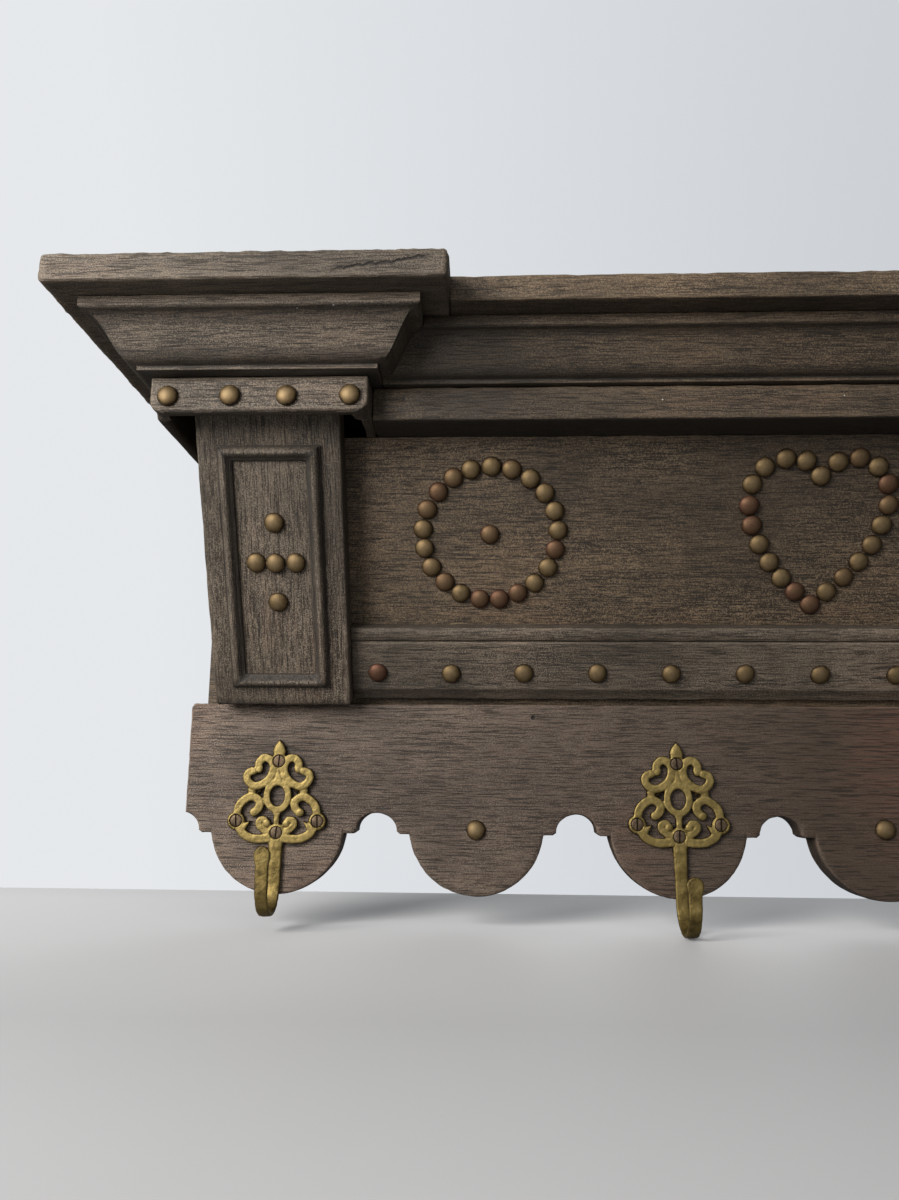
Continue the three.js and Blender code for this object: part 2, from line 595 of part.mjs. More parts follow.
function brassHook(drop, tip) {
  const plate = (points) => runY(shapeOf(points), -PLATE_THICK, 0);
  const round = ([u, v, radius], sides = 10) => rodY(radius, u, v, -PLATE_THICK, 0, sides);
  const oval = new THREE.Shape().absellipse(0, OVAL_Z, ...OVAL_OUTER, 0, 2 * Math.PI, false);
  oval.holes.push(new THREE.Path().absellipse(0, OVAL_Z, ...OVAL_OPENING, 0, 2 * Math.PI, false));
  const parts = [plate(FINIAL), plate(STEM_TOP), ...NECKS.map(plate), runY(oval, -PLATE_THICK, 0, 6)];
  parts.push(...BOSSES.map((boss) => round(boss)));
  for (const flip of [(points) => points, mirrored]) {
    parts.push(plate(flip(band(UPPER_LOOP, STRAND, 11))));
    parts.push(plate(flip(band(SIDE_SCROLL, STRAND, 8))));
    parts.push(plate(flip(band(LOWER_BAND, STRAND, 6))));
    parts.push(plate(flip(band(LOWER_SCROLL, THIN_STRAND, 6))));
    parts.push(plate(flip(LEAF)));
    const side = flip([[1, 0]])[0][0];
    parts.push(round([side * KNOT[0], KNOT[1], KNOT[2]], 6));
    parts.push(round([side * SIDE_SCROLL[0][0], SIDE_SCROLL[0][1], SIDE_BALL], 6));
    parts.push(round([side * LOWER_SCROLL[0][0], LOWER_SCROLL[0][1], LOWER_BALL], 6));
  }
  const bores = PLATE_SCREWS.map(([, u, v]) => turnedY([
    [0, -1], [SHANK + GAP, -1], [SHANK + GAP, PLATE_THICK - 2.1], [SCREW_HEAD + GAP, PLATE_THICK - 0.3],
    [SCREW_HEAD + GAP, PLATE_THICK + 1], [0, PLATE_THICK + 1]], 8).translate(u, 0, v));
  return cut(join([...parts, ...curl(drop, tip)]), bores);
}

const PLATE_Y = -BOARD_THICK - GAP;
const SCREW_LENGTH = SHANK_LENGTH + PLATE_THICK;
const HOOK_BENDS = [[46, -9.5], [54.5, -23.5], [52, -20], [48, -12]]; // each was bent by hand: drop, tip
HOOK_X.forEach((x, i) => {
  const hook = `hook_${i + 1}`;
  piece(rack, hook, brassHook(...HOOK_BENDS[i]), BRASS, x, PLATE_Y, HOOK_SCREW_Z);
  for (const [place, u, v] of PLATE_SCREWS) {
    const y = PLATE_Y - PLATE_THICK - GAP + SCREW_LENGTH;
    const screw = woodScrew(SCREW_LENGTH, SCREW_HEAD, 8);
    piece(rack, `${hook}_screw_${place}`, screw, SCREW, x + u, y, HOOK_SCREW_Z + v);
  }
});

export default rack;
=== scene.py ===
# The look of a wall hook rack: weathered dark oak, brass tacks and cast openwork hooks.
# Shapes are written in millimetres and scaled by MM; shaders, lights and the floor are in metres.
# The front faces -Y and the wall plane is y = 0.

import math
import random
from math import cos, pi, radians, sin, sqrt

import bmesh
import bpy
import numpy as np
from mathutils import Matrix, Vector, geometry, noise


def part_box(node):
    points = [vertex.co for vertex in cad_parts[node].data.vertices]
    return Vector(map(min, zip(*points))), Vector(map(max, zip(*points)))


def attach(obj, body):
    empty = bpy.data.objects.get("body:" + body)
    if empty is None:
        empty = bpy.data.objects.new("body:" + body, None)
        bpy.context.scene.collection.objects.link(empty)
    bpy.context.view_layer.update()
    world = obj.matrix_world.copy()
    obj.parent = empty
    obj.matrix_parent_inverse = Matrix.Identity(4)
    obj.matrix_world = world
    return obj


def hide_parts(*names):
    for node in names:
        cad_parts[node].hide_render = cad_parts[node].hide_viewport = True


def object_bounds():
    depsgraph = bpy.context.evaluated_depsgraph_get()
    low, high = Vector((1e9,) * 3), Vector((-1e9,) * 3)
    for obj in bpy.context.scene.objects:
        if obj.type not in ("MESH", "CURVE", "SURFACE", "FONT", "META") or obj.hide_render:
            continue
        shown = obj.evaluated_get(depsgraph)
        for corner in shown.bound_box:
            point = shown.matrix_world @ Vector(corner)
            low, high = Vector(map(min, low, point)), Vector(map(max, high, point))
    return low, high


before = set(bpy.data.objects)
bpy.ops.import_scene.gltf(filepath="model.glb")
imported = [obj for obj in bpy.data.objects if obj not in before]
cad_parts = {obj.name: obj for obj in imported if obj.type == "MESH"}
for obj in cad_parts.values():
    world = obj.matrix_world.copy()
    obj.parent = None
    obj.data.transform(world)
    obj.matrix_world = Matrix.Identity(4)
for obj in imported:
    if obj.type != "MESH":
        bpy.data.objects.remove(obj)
cad_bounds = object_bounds()

MM = 0.001

# ---- driving dimensions, as in the CAD

CLEARANCE = 0.3  # between pieces that meet
PITCH = 120
STUD_Z = -41.5  # height of the studs between the hooks
STUD_LIFT = 2.9  # the second stud sits this much higher than the rest
SCALLOPS = 8
BOARD_FACE = 19
BOARD_OVERHANG = 57
BOARD_STEP = -44.5
SCALLOP_RADIUS = 40.6
SCALLOP_HALF = 40.3
SCALLOP_DROP = 35.5
ARCH_HALF = 12
ARCH_RISE = 12.3

SLOPE = radians(25.2)
SLOPE_FOOT = Vector((0, -31, 31))
FRIEZE_DEPTH = 17.6
FRIEZE_THICK = 13
RAIL_THICK = 8.6
RAIL_HEIGHT = 46.5
PILASTER_X = 417
PILASTER_HALF = 41.3
PILASTER_LENGTH = 180

CORONA_HALF = 103.5
CORONA_FRONT = 169
CORNICE_FRONT = 144.5
SOFFIT = 14.5
CYMA_RUN = 24
TOP_Z = 247.6
TOP_THICK = 14.6
MOULD_LOW = 202.3
MOULD_TOP = 232.7
MOULD_BACK = 78
FASCIA_FRONT = 107
FASCIA_BACK = 55
FASCIA_LOW = 182.4
FASCIA_TOP = 202
BLOCK_FRONT = 123.5
BLOCK_HALF = 59.5
BLOCK_LOW = 181.5
BLOCK_BOARD = 6  # thickness of the capital block's side boards
BLOCK_RETURN = 84  # where its short return on the inside ends
BACK_FACE = 8.3

TACK_RADIUS = 5.9
TACK_HEIGHT = 3.6
TACK_JITTER = 0.35
HOOK_SCREW_Z = -44
PLATE_BACK = 19.3
PLATE_THICK = 3
SIDES = (("left", -1), ("right", 1))

# Rotation and place of everything that is square to the sloping front
SLOPE_MATRIX = Matrix.Translation(SLOPE_FOOT) @ Matrix.Rotation(SLOPE, 4, "X")


def scallop_x(i):
    return (i - (SCALLOPS - 1) / 2) * PITCH


# ---- node helpers

class Nodes:
    """The node tree of a material or world, emptied and ready to be filled."""

    def __init__(self, owner):
        owner.use_nodes = True
        self.tree = owner.node_tree
        self.tree.nodes.clear()

    def add(self, kind, inputs=None, **settings):
        """The outputs of a new node. Each input is linked to a socket or set to a value."""
        made = self.tree.nodes.new("ShaderNode" + kind)
        for key, value in settings.items():
            setattr(made, key, value)
        for key, value in (inputs or {}).items():
            socket = made.inputs[key]
            if isinstance(value, bpy.types.NodeSocket):
                self.tree.links.new(value, socket)
            elif socket.type == "RGBA":
                socket.default_value = (*value, 1)
            else:
                socket.default_value = value
        return made.outputs

    def math(self, operation, *values):
        return self.add("Math", dict(enumerate(values)), operation=operation)[0]

    def times(self, a, b):
        return self.math("MULTIPLY", a, b)

    def weighted(self, *terms):
        """The sum of (value, weight) pairs."""
        total, *rest = [self.times(value, weight) for value, weight in terms]
        for part in rest:
            total = self.math("ADD", total, part)
        return total

    def vector_math(self, operation, a, b, output="Vector"):
        return self.add("VectorMath", {0: a, 1: b}, operation=operation)[output]

    def ramp(self, value, low, high, out_low=0.0, out_high=1.0):
        return self.add("MapRange", {"Value": value, "From Min": low, "From Max": high,
                                     "To Min": out_low, "To Max": out_high})["Result"]

    def mix(self, factor, a, b):
        return self.add("Mix", {0: factor, 6: a, 7: b}, data_type="RGBA", clamp_factor=True)[2]

    def stretched(self, place, scale):
        return self.add("Mapping", {"Vector": place, "Scale": scale})["Vector"]

    def noise(self, place, stretch=None, scale=1.0, detail=4.0, rough=0.55):
        if stretch:
            place = self.stretched(place, stretch)
        return self.add("TexNoise", {"Vector": place, "Scale": scale, "Detail": detail,
                                     "Roughness": rough})["Fac"]

    def surface(self, colour, rough, bump=None, levels=None):
        """Ends a material's tree. The bump is (height, strength, distance)."""
        inputs = {"Base Color": colour, "Roughness": rough, **(levels or {})}
        if bump:
            inputs["Normal"] = self.add("Bump", dict(zip(("Height", "Strength", "Distance"), bump)))[0]
        self.add("OutputMaterial", {"Surface": self.add("BsdfPrincipled", inputs)[0]})


# ---- wood

# Painted shade that darkens the hook board towards the right, away from the light.
FALLOFF_SHADE = (0.030, 0.017, 0.009)
RED = (0.105, 0.042, 0.025)
PORE = (0.008, 0.006, 0.004)
# Grime and painted shade, for inside corners, hollows and undersides.
GRIME_AND_SHADE = (0.009, 0.007, 0.005)
CRACK = (0.006, 0.004, 0.003)
HOLE = (0.004, 0.003, 0.002)
DUST = (0.5, 0.48, 0.44)


def wood(name, dark, mid, light, turn=(0, 0, 0), shift=0.0, red=0.0, falloff_shade=None, crack=None):
    """Old oak with its grain along X before the turn. Colours are linear RGB.

    A falloff shade (start, end, share) is painted shade: it darkens the wood gradually along X between start
    and end.
    A crack ((x, z), (x, z)) is a thin dark split that wanders from the first point to the second.
    """
    material = bpy.data.materials.new(name)
    t = Nodes(material)
    place = t.add("TexCoord")["Object"]
    turned = t.add("Mapping", {"Vector": place, "Rotation": turn,
                               "Location": (shift, shift * 0.37, shift * 0.71)})["Vector"]
    wander = t.add("TexNoise", {"Vector": t.stretched(turned, (3, 14, 14)), "Scale": 1, "Detail": 2})
    bend = t.vector_math("SUBTRACT", wander["Color"], (0.5, 0.5, 0.5))
    bend = t.vector_math("MULTIPLY", bend, (0, 0.005, 0.005))
    grain = t.vector_math("ADD", turned, bend)

    broad = t.noise(grain, (5, 26, 26), detail=3)
    bands = t.noise(grain, (12, 430, 430), rough=0.65)
    fibres = t.noise(grain, (110, 1700, 1700), rough=0.7)
    pores = t.noise(grain, (60, 1800, 1800), detail=1, rough=0.4)
    fuzz = t.noise(turned, scale=1500, detail=3, rough=0.75)
    patches = t.noise(turned, scale=9, detail=3)

    tone = t.weighted((broad, 0.5), (bands, 0.5), (fibres, 0.85))
    colour = t.mix(t.ramp(tone, 0.84, 1.01), dark, mid)
    glow = t.weighted((fuzz, 1.3), (fibres, 0.45))
    colour = t.mix(t.ramp(glow, 0.865, 0.965, 0, 0.8), colour, light)
    # Painted shade: the wood is painted darker along X, as if less light reached it.
    if falloff_shade:
        start, end, share = falloff_shade
        along = t.add("SeparateXYZ", {0: place})["X"]
        uneven = t.math("ADD", along, t.ramp(patches, 0.3, 0.7, -0.1, 0.1))
        colour = t.mix(t.times(t.ramp(uneven, start, end), share), colour, FALLOFF_SHADE)
    if red:
        redness = t.times(t.ramp(patches, 0.5, 0.72), red)
        colour = t.mix(t.times(redness, t.ramp(bands, 0.4, 0.56)), colour, RED)
    soot = t.times(t.ramp(patches, 0.54, 0.32), 0.6)
    colour = t.mix(soot, colour, dark)
    pore_mask = t.ramp(pores, 0.41, 0.34)
    colour = t.mix(t.times(pore_mask, 0.75), colour, PORE)

    wear_and_shade = t.add("Attribute", attribute_name="wear_and_shade")["Fac"]
    rubbed = t.times(t.ramp(wear_and_shade, 0.1, 0.9), t.ramp(patches, 0.35, 0.6, 0.05, 0.35))
    colour = t.mix(rubbed, colour, light)
    # Grime and painted shade: where the attribute is below zero (inside corners, hollows, undersides) the
    # wood is painted dark.
    colour = t.mix(t.times(t.ramp(wear_and_shade, -0.08, -0.8), 0.75), colour, GRIME_AND_SHADE)

    deepest = []
    if crack:
        (x0, z0), (x1, z1) = crack
        axes = t.add("SeparateXYZ", {0: place})
        wave = t.noise(place, (160, 0, 0), detail=3)
        line = t.math("ADD", t.ramp(axes["X"], x0, x1, z0, z1), t.ramp(wave, 0.3, 0.7, -0.0012, 0.0012))
        gap = t.ramp(t.math("ABSOLUTE", t.math("SUBTRACT", axes["Z"], line)), 0.0009, 0.0002)
        for low, high in ((x0 - 0.004, x0 + 0.008), (x1 + 0.004, x1 - 0.002)):
            gap = t.times(gap, t.ramp(axes["X"], low, high))
        colour = t.mix(gap, colour, CRACK)
        deepest.append((gap, -2.0))

    def spots(scale, rim, core, channel, cut):
        """Round spots of one size in those cells of a pattern whose channel is above the cut."""
        cells = t.add("TexVoronoi", {"Vector": turned, "Scale": scale})
        spot = t.ramp(cells["Distance"], rim, core)
        return t.times(spot, t.ramp(t.add("SeparateColor", {0: cells["Color"]})[channel], *cut))

    beetle_holes = spots(24.0, 0.036, 0.02, 0, (0.66, 0.68))
    colour = t.mix(beetle_holes, colour, HOLE)
    pale_specks = spots(62.0, 0.034, 0.016, 1, (0.84, 0.85))
    colour = t.mix(t.times(pale_specks, 0.8), colour, DUST)

    height = t.weighted((fibres, 0.5), (bands, 0.5), (pore_mask, -0.6), (beetle_holes, -3.0),
                        (fuzz, 0.22), *deepest)
    t.surface(colour, t.ramp(fibres, 0.3, 0.7, 0.5, 0.8), (height, 0.75, 0.0007),
              {"Specular IOR Level": 0.34})
    return material


BROWN = (0.013, 0.008, 0.004), (0.060, 0.039, 0.022), (0.175, 0.124, 0.076)
GREY = (0.017, 0.012, 0.007), (0.068, 0.050, 0.034), (0.190, 0.149, 0.110)
BOARD = (0.022, 0.013, 0.008), (0.086, 0.059, 0.042), (0.235, 0.177, 0.133)
# Painted shadow: a darker copy of the brown oak for the cornice moulding and fascia, which sit in shadow
# under the corona.
SHADOWED_BROWN = [tuple(0.7 * c for c in colour) for colour in BROWN]

oak = wood("oak_along", *BROWN, red=0.15)
oak_shadowed = wood("oak_cornice_shadowed", *SHADOWED_BROWN, shift=2.9, red=0.15)
oak_rail = wood("oak_rail", *GREY, turn=(-SLOPE, 0, 0), shift=4.4, red=0.25)
oak_slope = wood("oak_sloping", *BROWN, turn=(-SLOPE, 0, 0), shift=1.7, red=0.25)
oak_upright = wood("oak_upright", *GREY, turn=(-SLOPE, pi / 2, 0), shift=3.1, red=0.35)
oak_capital = wood("oak_capital", *GREY, shift=9.3, red=0.2)
oak_board = wood("oak_hook_board", *BOARD, shift=5.3, red=0.5, falloff_shade=(-0.42, -0.1, 0.85))
oak_slab = wood("oak_corona", *GREY, shift=7.9, red=0.2, crack=((-0.372, 0.2366), (-0.324, 0.2432)))


# ---- metals

def metal(name, deep, body, bright, rough, tint=(0.2, 0.07, 0.03), tint_share=0.5, mottle=160, even=False):
    """Old metal, dark where the 'high' attribute is low, with tarnish and fine pitting.

    An even metal is for meshes that don't carry the attribute.
    """
    material = bpy.data.materials.new(name)
    t = Nodes(material)
    place = t.add("TexCoord")["Object"]
    high, tone = (t.add("Attribute", attribute_name=key)["Fac"] for key in ("high", "tone"))
    blotch = t.noise(place, scale=mottle, detail=5, rough=0.7)
    fine = t.noise(place, scale=1400, rough=0.7)
    if even:
        high = t.math("ADD", high, 0.5)
    raised = t.math("ADD", high, t.times(t.math("SUBTRACT", blotch, 0.5), 1.3))
    colour = t.mix(t.ramp(raised, 0.12, 0.62), deep, body)
    colour = t.mix(t.ramp(raised, 0.66, 1.15, 0, 0.85), colour, bright)
    tarnish = t.times(t.ramp(t.math("ADD", blotch, tone), 0.85, 1.35), tint_share)
    colour = t.mix(tarnish, colour, tint)
    colour = t.mix(t.ramp(fine, 0.42, 0.3, 0, 0.5), colour, deep)
    height = t.weighted((blotch, 0.8), (fine, 0.3))
    t.surface(colour, t.ramp(blotch, 0.3, 0.7, *rough), (height, 0.5, 0.0003), {"Metallic": 0.85})
    return material


SCREW = (0.025, 0.016, 0.01), (0.1, 0.07, 0.044), (0.19, 0.14, 0.09), (0.45, 0.68)

hook_brass = metal("cast_brass", (0.018, 0.011, 0.004), (0.135, 0.096, 0.03), (0.24, 0.178, 0.064),
                   (0.42, 0.64), tint=(0.13, 0.06, 0.02))
tack_brass = metal("tack_brass", (0.026, 0.015, 0.007), (0.12, 0.08, 0.037), (0.17, 0.122, 0.066),
                   (0.48, 0.68), tint=(0.08, 0.034, 0.023), tint_share=0.8, mottle=330)
screw_metal = metal("screw_metal", *SCREW)
iron = metal("hanger_iron", (0.02, 0.017, 0.015), (0.1, 0.09, 0.08), (0.2, 0.18, 0.16), (0.45, 0.75),
             even=True)
hanger_screw_metal = metal("hanger_screw_metal", *SCREW, even=True)


# ---- mesh helpers

def add_object(name, data):
    made = bpy.data.objects.new(name, data)
    bpy.context.collection.objects.link(made)
    return made


def finish_piece(name, mesh, material, replaced, smooth_angle=38):
    """Adds the piece to the scene and ties it to the frame in place of the replaced CAD parts."""
    piece = add_object(name, mesh)
    mesh.materials.append(material)
    mesh.shade_smooth()
    mesh.set_sharp_from_angle(angle=radians(smooth_angle))
    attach(piece, "root")
    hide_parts(*replaced)


def attribute(mesh, name, values):
    layer = mesh.attributes.new(name, "FLOAT", "POINT")
    layer.data.foreach_set("value", np.asarray(values, dtype=np.float32))


def build_mesh(name, verts_mm, faces, matrix=None):
    mesh = bpy.data.meshes.new(name)
    points = [Vector(v) for v in verts_mm]
    if matrix is not None:
        points = [matrix @ v for v in points]
    mesh.from_pydata([v * MM for v in points], [], faces)
    mesh.validate()
    bm = bmesh.new()
    bm.from_mesh(mesh)
    bmesh.ops.recalc_face_normals(bm, faces=bm.faces)
    bm.to_mesh(mesh)
    bm.free()
    return mesh


def mesh_from(bm, name, matrix=Matrix.Identity(4)):
    """The mesh of a finished bmesh, its faces turned outwards."""
    bmesh.ops.recalc_face_normals(bm, faces=bm.faces)
    bmesh.ops.transform(bm, matrix=matrix, verts=bm.verts)
    mesh = bpy.data.meshes.new(name)
    bm.to_mesh(mesh)
    bm.free()
    return mesh


def skin(rings, size):
    """Faces between closed rings of vertices that follow each other in one list."""
    return [(r * size + i, r * size + (i + 1) % size, (r + 1) * size + (i + 1) % size, (r + 1) * size + i)
            for r in range(rings - 1) for i in range(size)]


def bridge(bm, rings):
    """Faces between each ring of vertices and the next. A point is a ring of one vertex repeated."""
    for first, second in zip(rings, rings[1:]):
        for k in range(len(first)):
            t = (k + 1) % len(first)
            bm.faces.new(list(dict.fromkeys((first[k], first[t], second[t], second[k]))))


def bridge_and_cap(bm, rings):
    bridge(bm, rings)
    bm.faces.new(rings[0][::-1])
    bm.faces.new(rings[-1])


def mesh_arrays(mesh):
    """Vertex places in millimetres and normals, read once: asking again after a move is slow."""
    places = np.empty(len(mesh.vertices) * 3)
    mesh.vertices.foreach_get("co", places)
    normals = np.empty(len(mesh.vertices) * 3, dtype=np.float32)
    mesh.vertex_normals.foreach_get("vector", normals)
    return places.reshape(-1, 3) / MM, normals.reshape(-1, 3)


def set_places(mesh, places):
    mesh.vertices.foreach_set("co", (places * MM).ravel())
    mesh.update()


PAINTED_SHADE = -0.45  # painted shade: how dark undersides and the hook board's cut edges are painted


def weather(mesh, wear_and_shade, seed, bow=0.12, chip=0.9, soffit=PAINTED_SHADE):
    """Pushes the surface inwards: a slow hand-planed unevenness, and more where an edge is worn."""
    places, normals = mesh_arrays(mesh)
    depths = np.empty(len(places))
    for i, ((x, y, z), worn) in enumerate(zip(places.tolist(), wear_and_shade)):
        slow = 0.5 + 0.5 * noise.noise(Vector((x * 0.012, y * 0.03, z * 0.03 + seed)))
        depth = bow * slow
        if worn > 0:
            rough = noise.noise(Vector((x * 0.06, y * 0.06 + seed, z * 0.06)))
            sharp = noise.noise(Vector((x * 0.33, y * 0.33, z * 0.33 + seed)))
            depth += chip * worn * max(0.0, 0.25 + 0.6 * rough + 0.55 * sharp)
        depths[i] = depth
    set_places(mesh, places - normals * depths[:, None])
    # Painted shade: faces turned downwards are painted at least as dark as the underside shade.
    below = normals[:, 2] < -0.55
    attribute(mesh, "wear_and_shade", np.where(below, np.minimum(wear_and_shade, soffit), wear_and_shade))


def oak_piece(part, verts, faces, wear_and_shade, seed, material, matrix=None, slot="oak", smooth_angle=38, **ageing):
    """A weathered piece of wood in place of the CAD part of that name."""
    mesh = build_mesh(part + "_worn", verts, faces, matrix)
    weather(mesh, wear_and_shade, seed, **ageing)
    finish_piece(part + "_worn", mesh, material, [part], smooth_angle)


def turning(outline):
    """1 if a closed outline runs anticlockwise, else -1."""
    area = sum(a[0] * b[1] - b[0] * a[1] for a, b in zip(outline, outline[1:] + outline[:1]))
    return 1 if area > 0 else -1


def soften(outline, radius, step):
    """A closed outline with its corners rounded and its straights divided.

    Returns the points and, for each, its mark: 1 on an outside corner, rubbed lighter, -1 in an inside one,
    darkened by grime and painted shade, else 0.
    A point may carry its own radius as a third number.
    """
    sign = turning(outline)
    arc = 3
    points, wear_and_shade = [], []
    for i, corner in enumerate(outline):
        following = outline[(i + 1) % len(outline)]
        here, stop = Vector(corner[:2]), Vector(following[:2])
        before, after = Vector(outline[i - 1][:2]) - here, stop - here
        size = corner[2] if len(corner) > 2 else radius
        size_after = following[2] if len(following) > 2 else radius
        reach = min(size, before.length * 0.45, after.length * 0.45)
        turn = -before.x * after.y + before.y * after.x
        bend = abs(before.angle(-after))
        start, end = here + before.normalized() * reach, here + after.normalized() * reach
        value = (1 if turn * sign > 0 else -1) * min(1, bend)
        for k in range(arc + 1):
            t = k / arc
            points.append(start * (1 - t) ** 2 + here * 2 * t * (1 - t) + end * t * t)
            wear_and_shade.append(value * (1 if 0 < k < arc else 0.6))
        gap = stop - end
        straight = gap.length - min(size_after, after.length * 0.45)
        parts = int(straight / step)
        for k in range(1, parts):
            points.append(end + gap.normalized() * straight * k / parts)
            wear_and_shade.append(0.25 * value if k == 1 else 0.0)
    return points, wear_and_shade


def inset(points, distance):
    """Each point of a closed outline moved inwards by distance."""
    sign = turning(points)
    moved = []
    for i, here in enumerate(points):
        along = points[(i + 1) % len(points)] - points[i - 1]
        along = along.normalized() if along.length > 1e-6 else Vector((1, 0))
        moved.append(here + sign * distance * Vector((-along.y, along.x)))
    return moved


def run(part, outline, start, end, material, matrix=None, axis="x", radius=1.0, spacing=6.0,
        round_end=0.9, seed=0.0, step=3.0, chip=0.9, shape=None, soffit=PAINTED_SHADE):
    """Stands for a CAD part: its outline run along X (or Z) from start to end.

    Start and end are each a number or a function of (y, z).
    """
    points, wear_and_shade = soften(outline, radius, step)
    tight = inset(points, round_end)
    low, high = ([limit(p.x, p.y) if callable(limit) else limit for p in points] for limit in (start, end))
    rows = max(2, int((max(high) - min(low) - 2 * round_end) / spacing))
    # Each station is (share of the length, share of the rounded end or None, pull to the tight outline)
    rounding = [(0.0, 1.0), (0.35, 0.35), (1.0, 0.0)]
    stations = [(0, edge, pull) for edge, pull in rounding]
    stations += [(k / rows, None, 0.0) for k in range(1, rows)]
    stations += [(1, edge, pull) for edge, pull in reversed(rounding)]
    verts, worn = [], []
    for share, edge, pull in stations:
        for i, point in enumerate(points):
            a, b = low[i] + round_end, high[i] - round_end
            along = a + (b - a) * share
            if edge is not None:
                along = low[i] + round_end * edge if share == 0 else high[i] - round_end * edge
            at = point.lerp(tight[i], pull)
            verts.append((along, at.x, at.y) if axis == "x" else (at.x, at.y, along))
            worn.append(max(wear_and_shade[i], 0.8) if edge is not None else wear_and_shade[i])
    faces = skin(len(stations), len(points))
    last = (len(stations) - 1) * len(points)
    for a, b, c in geometry.tessellate_polygon([[p.to_3d() for p in tight]]):
        faces += [(a, b, c), (last + c, last + b, last + a)]
    if shape:
        verts = [shape(*v) for v in verts]
    oak_piece(part, verts, faces, worn, seed, material, matrix, chip=chip, soffit=soffit)


def box_outline(a0, a1, b0, b1):
    return [(a0, b0), (a1, b0), (a1, b1), (a0, b1)]


# ---- hook board

def scallop_line():
    """Points of the lower edge from left to right."""
    end = scallop_x(SCALLOPS - 1) + BOARD_OVERHANG
    lip, ease = 1.5, 0.35  # foot of each arch, and the corners left out of the straights
    low, rise = BOARD_STEP + lip, ARCH_RISE - lip
    middle = BOARD_STEP - SCALLOP_DROP + SCALLOP_RADIUS
    turn = math.asin((middle - BOARD_STEP) / SCALLOP_RADIUS)
    straight = PITCH / 2 - ARCH_HALF - SCALLOP_HALF - 2 * ease

    def straight_from(x):
        return [(x + ease + k / 4 * straight, BOARD_STEP) for k in range(1, 4)]

    line = []
    for i in range(SCALLOPS + 1):
        x = scallop_x(i) - PITCH / 2
        for k in range(25):
            angle = pi * (1 - k / 24)
            at = (x + ARCH_HALF * cos(angle), low + rise * sin(angle))
            if abs(at[0]) < end - 0.2:
                line.append(at)
        if i == SCALLOPS:
            break
        line += straight_from(x + ARCH_HALF)
        for k in range(49):
            angle = pi + turn + (pi - 2 * turn) * k / 48
            line.append((scallop_x(i) + SCALLOP_RADIUS * cos(angle),
                         middle + SCALLOP_RADIUS * sin(angle)))
        line += straight_from(scallop_x(i) + SCALLOP_HALF)
    low_end = low + rise * sqrt(1 - ((PITCH / 2 - BOARD_OVERHANG) / ARCH_HALF) ** 2)
    return [(-end, low_end)] + line + [(end, low_end)]


def distance_to(points, outline):
    """Nearest distance from each point to a closed outline, both in the same plane."""
    a = np.array(outline)
    b = np.roll(a, -1, axis=0)
    along = b - a
    length = (along ** 2).sum(1) + 1e-12
    nearest = np.full(len(points), 1e9)
    for start, way, size in zip(a, along, length):
        share = np.clip(((points - start) @ way) / size, 0, 1)
        gap = points - (start + share[:, None] * way)
        nearest = np.minimum(nearest, (gap ** 2).sum(1))
    return np.sqrt(nearest)


def hook_board():
    lo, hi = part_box("hook_board")
    top, thick = hi[2] / MM, (hi[1] - lo[1]) / MM
    low_edge = scallop_line()
    band = 2.6  # radius of the upper corners, and width of the finely divided edge
    columns = []
    for x, z in low_edge:
        short = max(0, band - (low_edge[-1][0] - abs(x)))
        columns.append((x, z, top - (band - sqrt(max(0, band ** 2 - short ** 2)) if short else 0)))
    outline = [(x, z) for x, z, _ in columns] + [(x, t) for x, _, t in reversed(columns)]
    near = [0, 0.35, 0.8, 1.5, band]
    middle_rows = 22
    grid = []
    for x, z, t in columns:
        inner = [z + band + (t - z - 2 * band) * k / middle_rows for k in range(1, middle_rows)]
        grid.append([z + n for n in near] + inner + [t - n for n in reversed(near)])
    rows = len(grid[0])
    flat = np.array([(column[0], z) for column, heights in zip(columns, grid) for z in heights])
    edge = distance_to(flat, outline)
    verts, worn = [], []
    for face_y, inward in ((-thick, 1), (0, -1)):
        for (x, z), near_edge in zip(flat, edge):
            size = 1.5 + 0.7 * noise.noise(Vector((x * 0.05, z * 0.05, 3.0)))
            bite = max(0, size - near_edge)
            depth = size - sqrt(max(0, size ** 2 - bite ** 2))
            verts.append((x, face_y + inward * depth, z))
            worn.append(max(0, 1 - near_edge / 1.6))
    size = len(columns) * rows
    faces = []
    for i in range(len(columns) - 1):
        for j in range(rows - 1):
            a, b = i * rows + j, (i + 1) * rows + j
            faces += [(a, b, b + 1, a + 1), (size + a, size + a + 1, size + b + 1, size + b)]
    rim = [i * rows for i in range(len(columns))]
    rim += [(len(columns) - 1) * rows + j for j in range(1, rows)]
    rim += [i * rows + rows - 1 for i in range(len(columns) - 2, -1, -1)]
    rim += list(range(rows - 2, 0, -1))
    across = 5
    levels = [rim]
    # Painted shade: the board's cut edges all round are painted as dark as the undersides.
    for level in range(1, across):
        levels.append(range(len(verts), len(verts) + len(rim)))
        for v in rim:
            front, back = verts[v], verts[size + v]
            verts.append((front[0], front[1] + (back[1] - front[1]) * level / across, front[2]))
            worn.append(PAINTED_SHADE)
    levels.append([size + v for v in rim])
    for k in range(len(rim)):
        t = (k + 1) % len(rim)
        faces += [(first[k], second[k], second[t], first[t]) for first, second in zip(levels, levels[1:])]
    oak_piece("hook_board", verts, faces, worn, 11.0, oak_board, slot="board_oak", bow=0.15, chip=0.5)


hook_board()

# ---- sloping front

frieze_lo, frieze_hi = (Vector(v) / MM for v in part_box("frieze_board"))
frieze_back = FRIEZE_DEPTH + FRIEZE_THICK


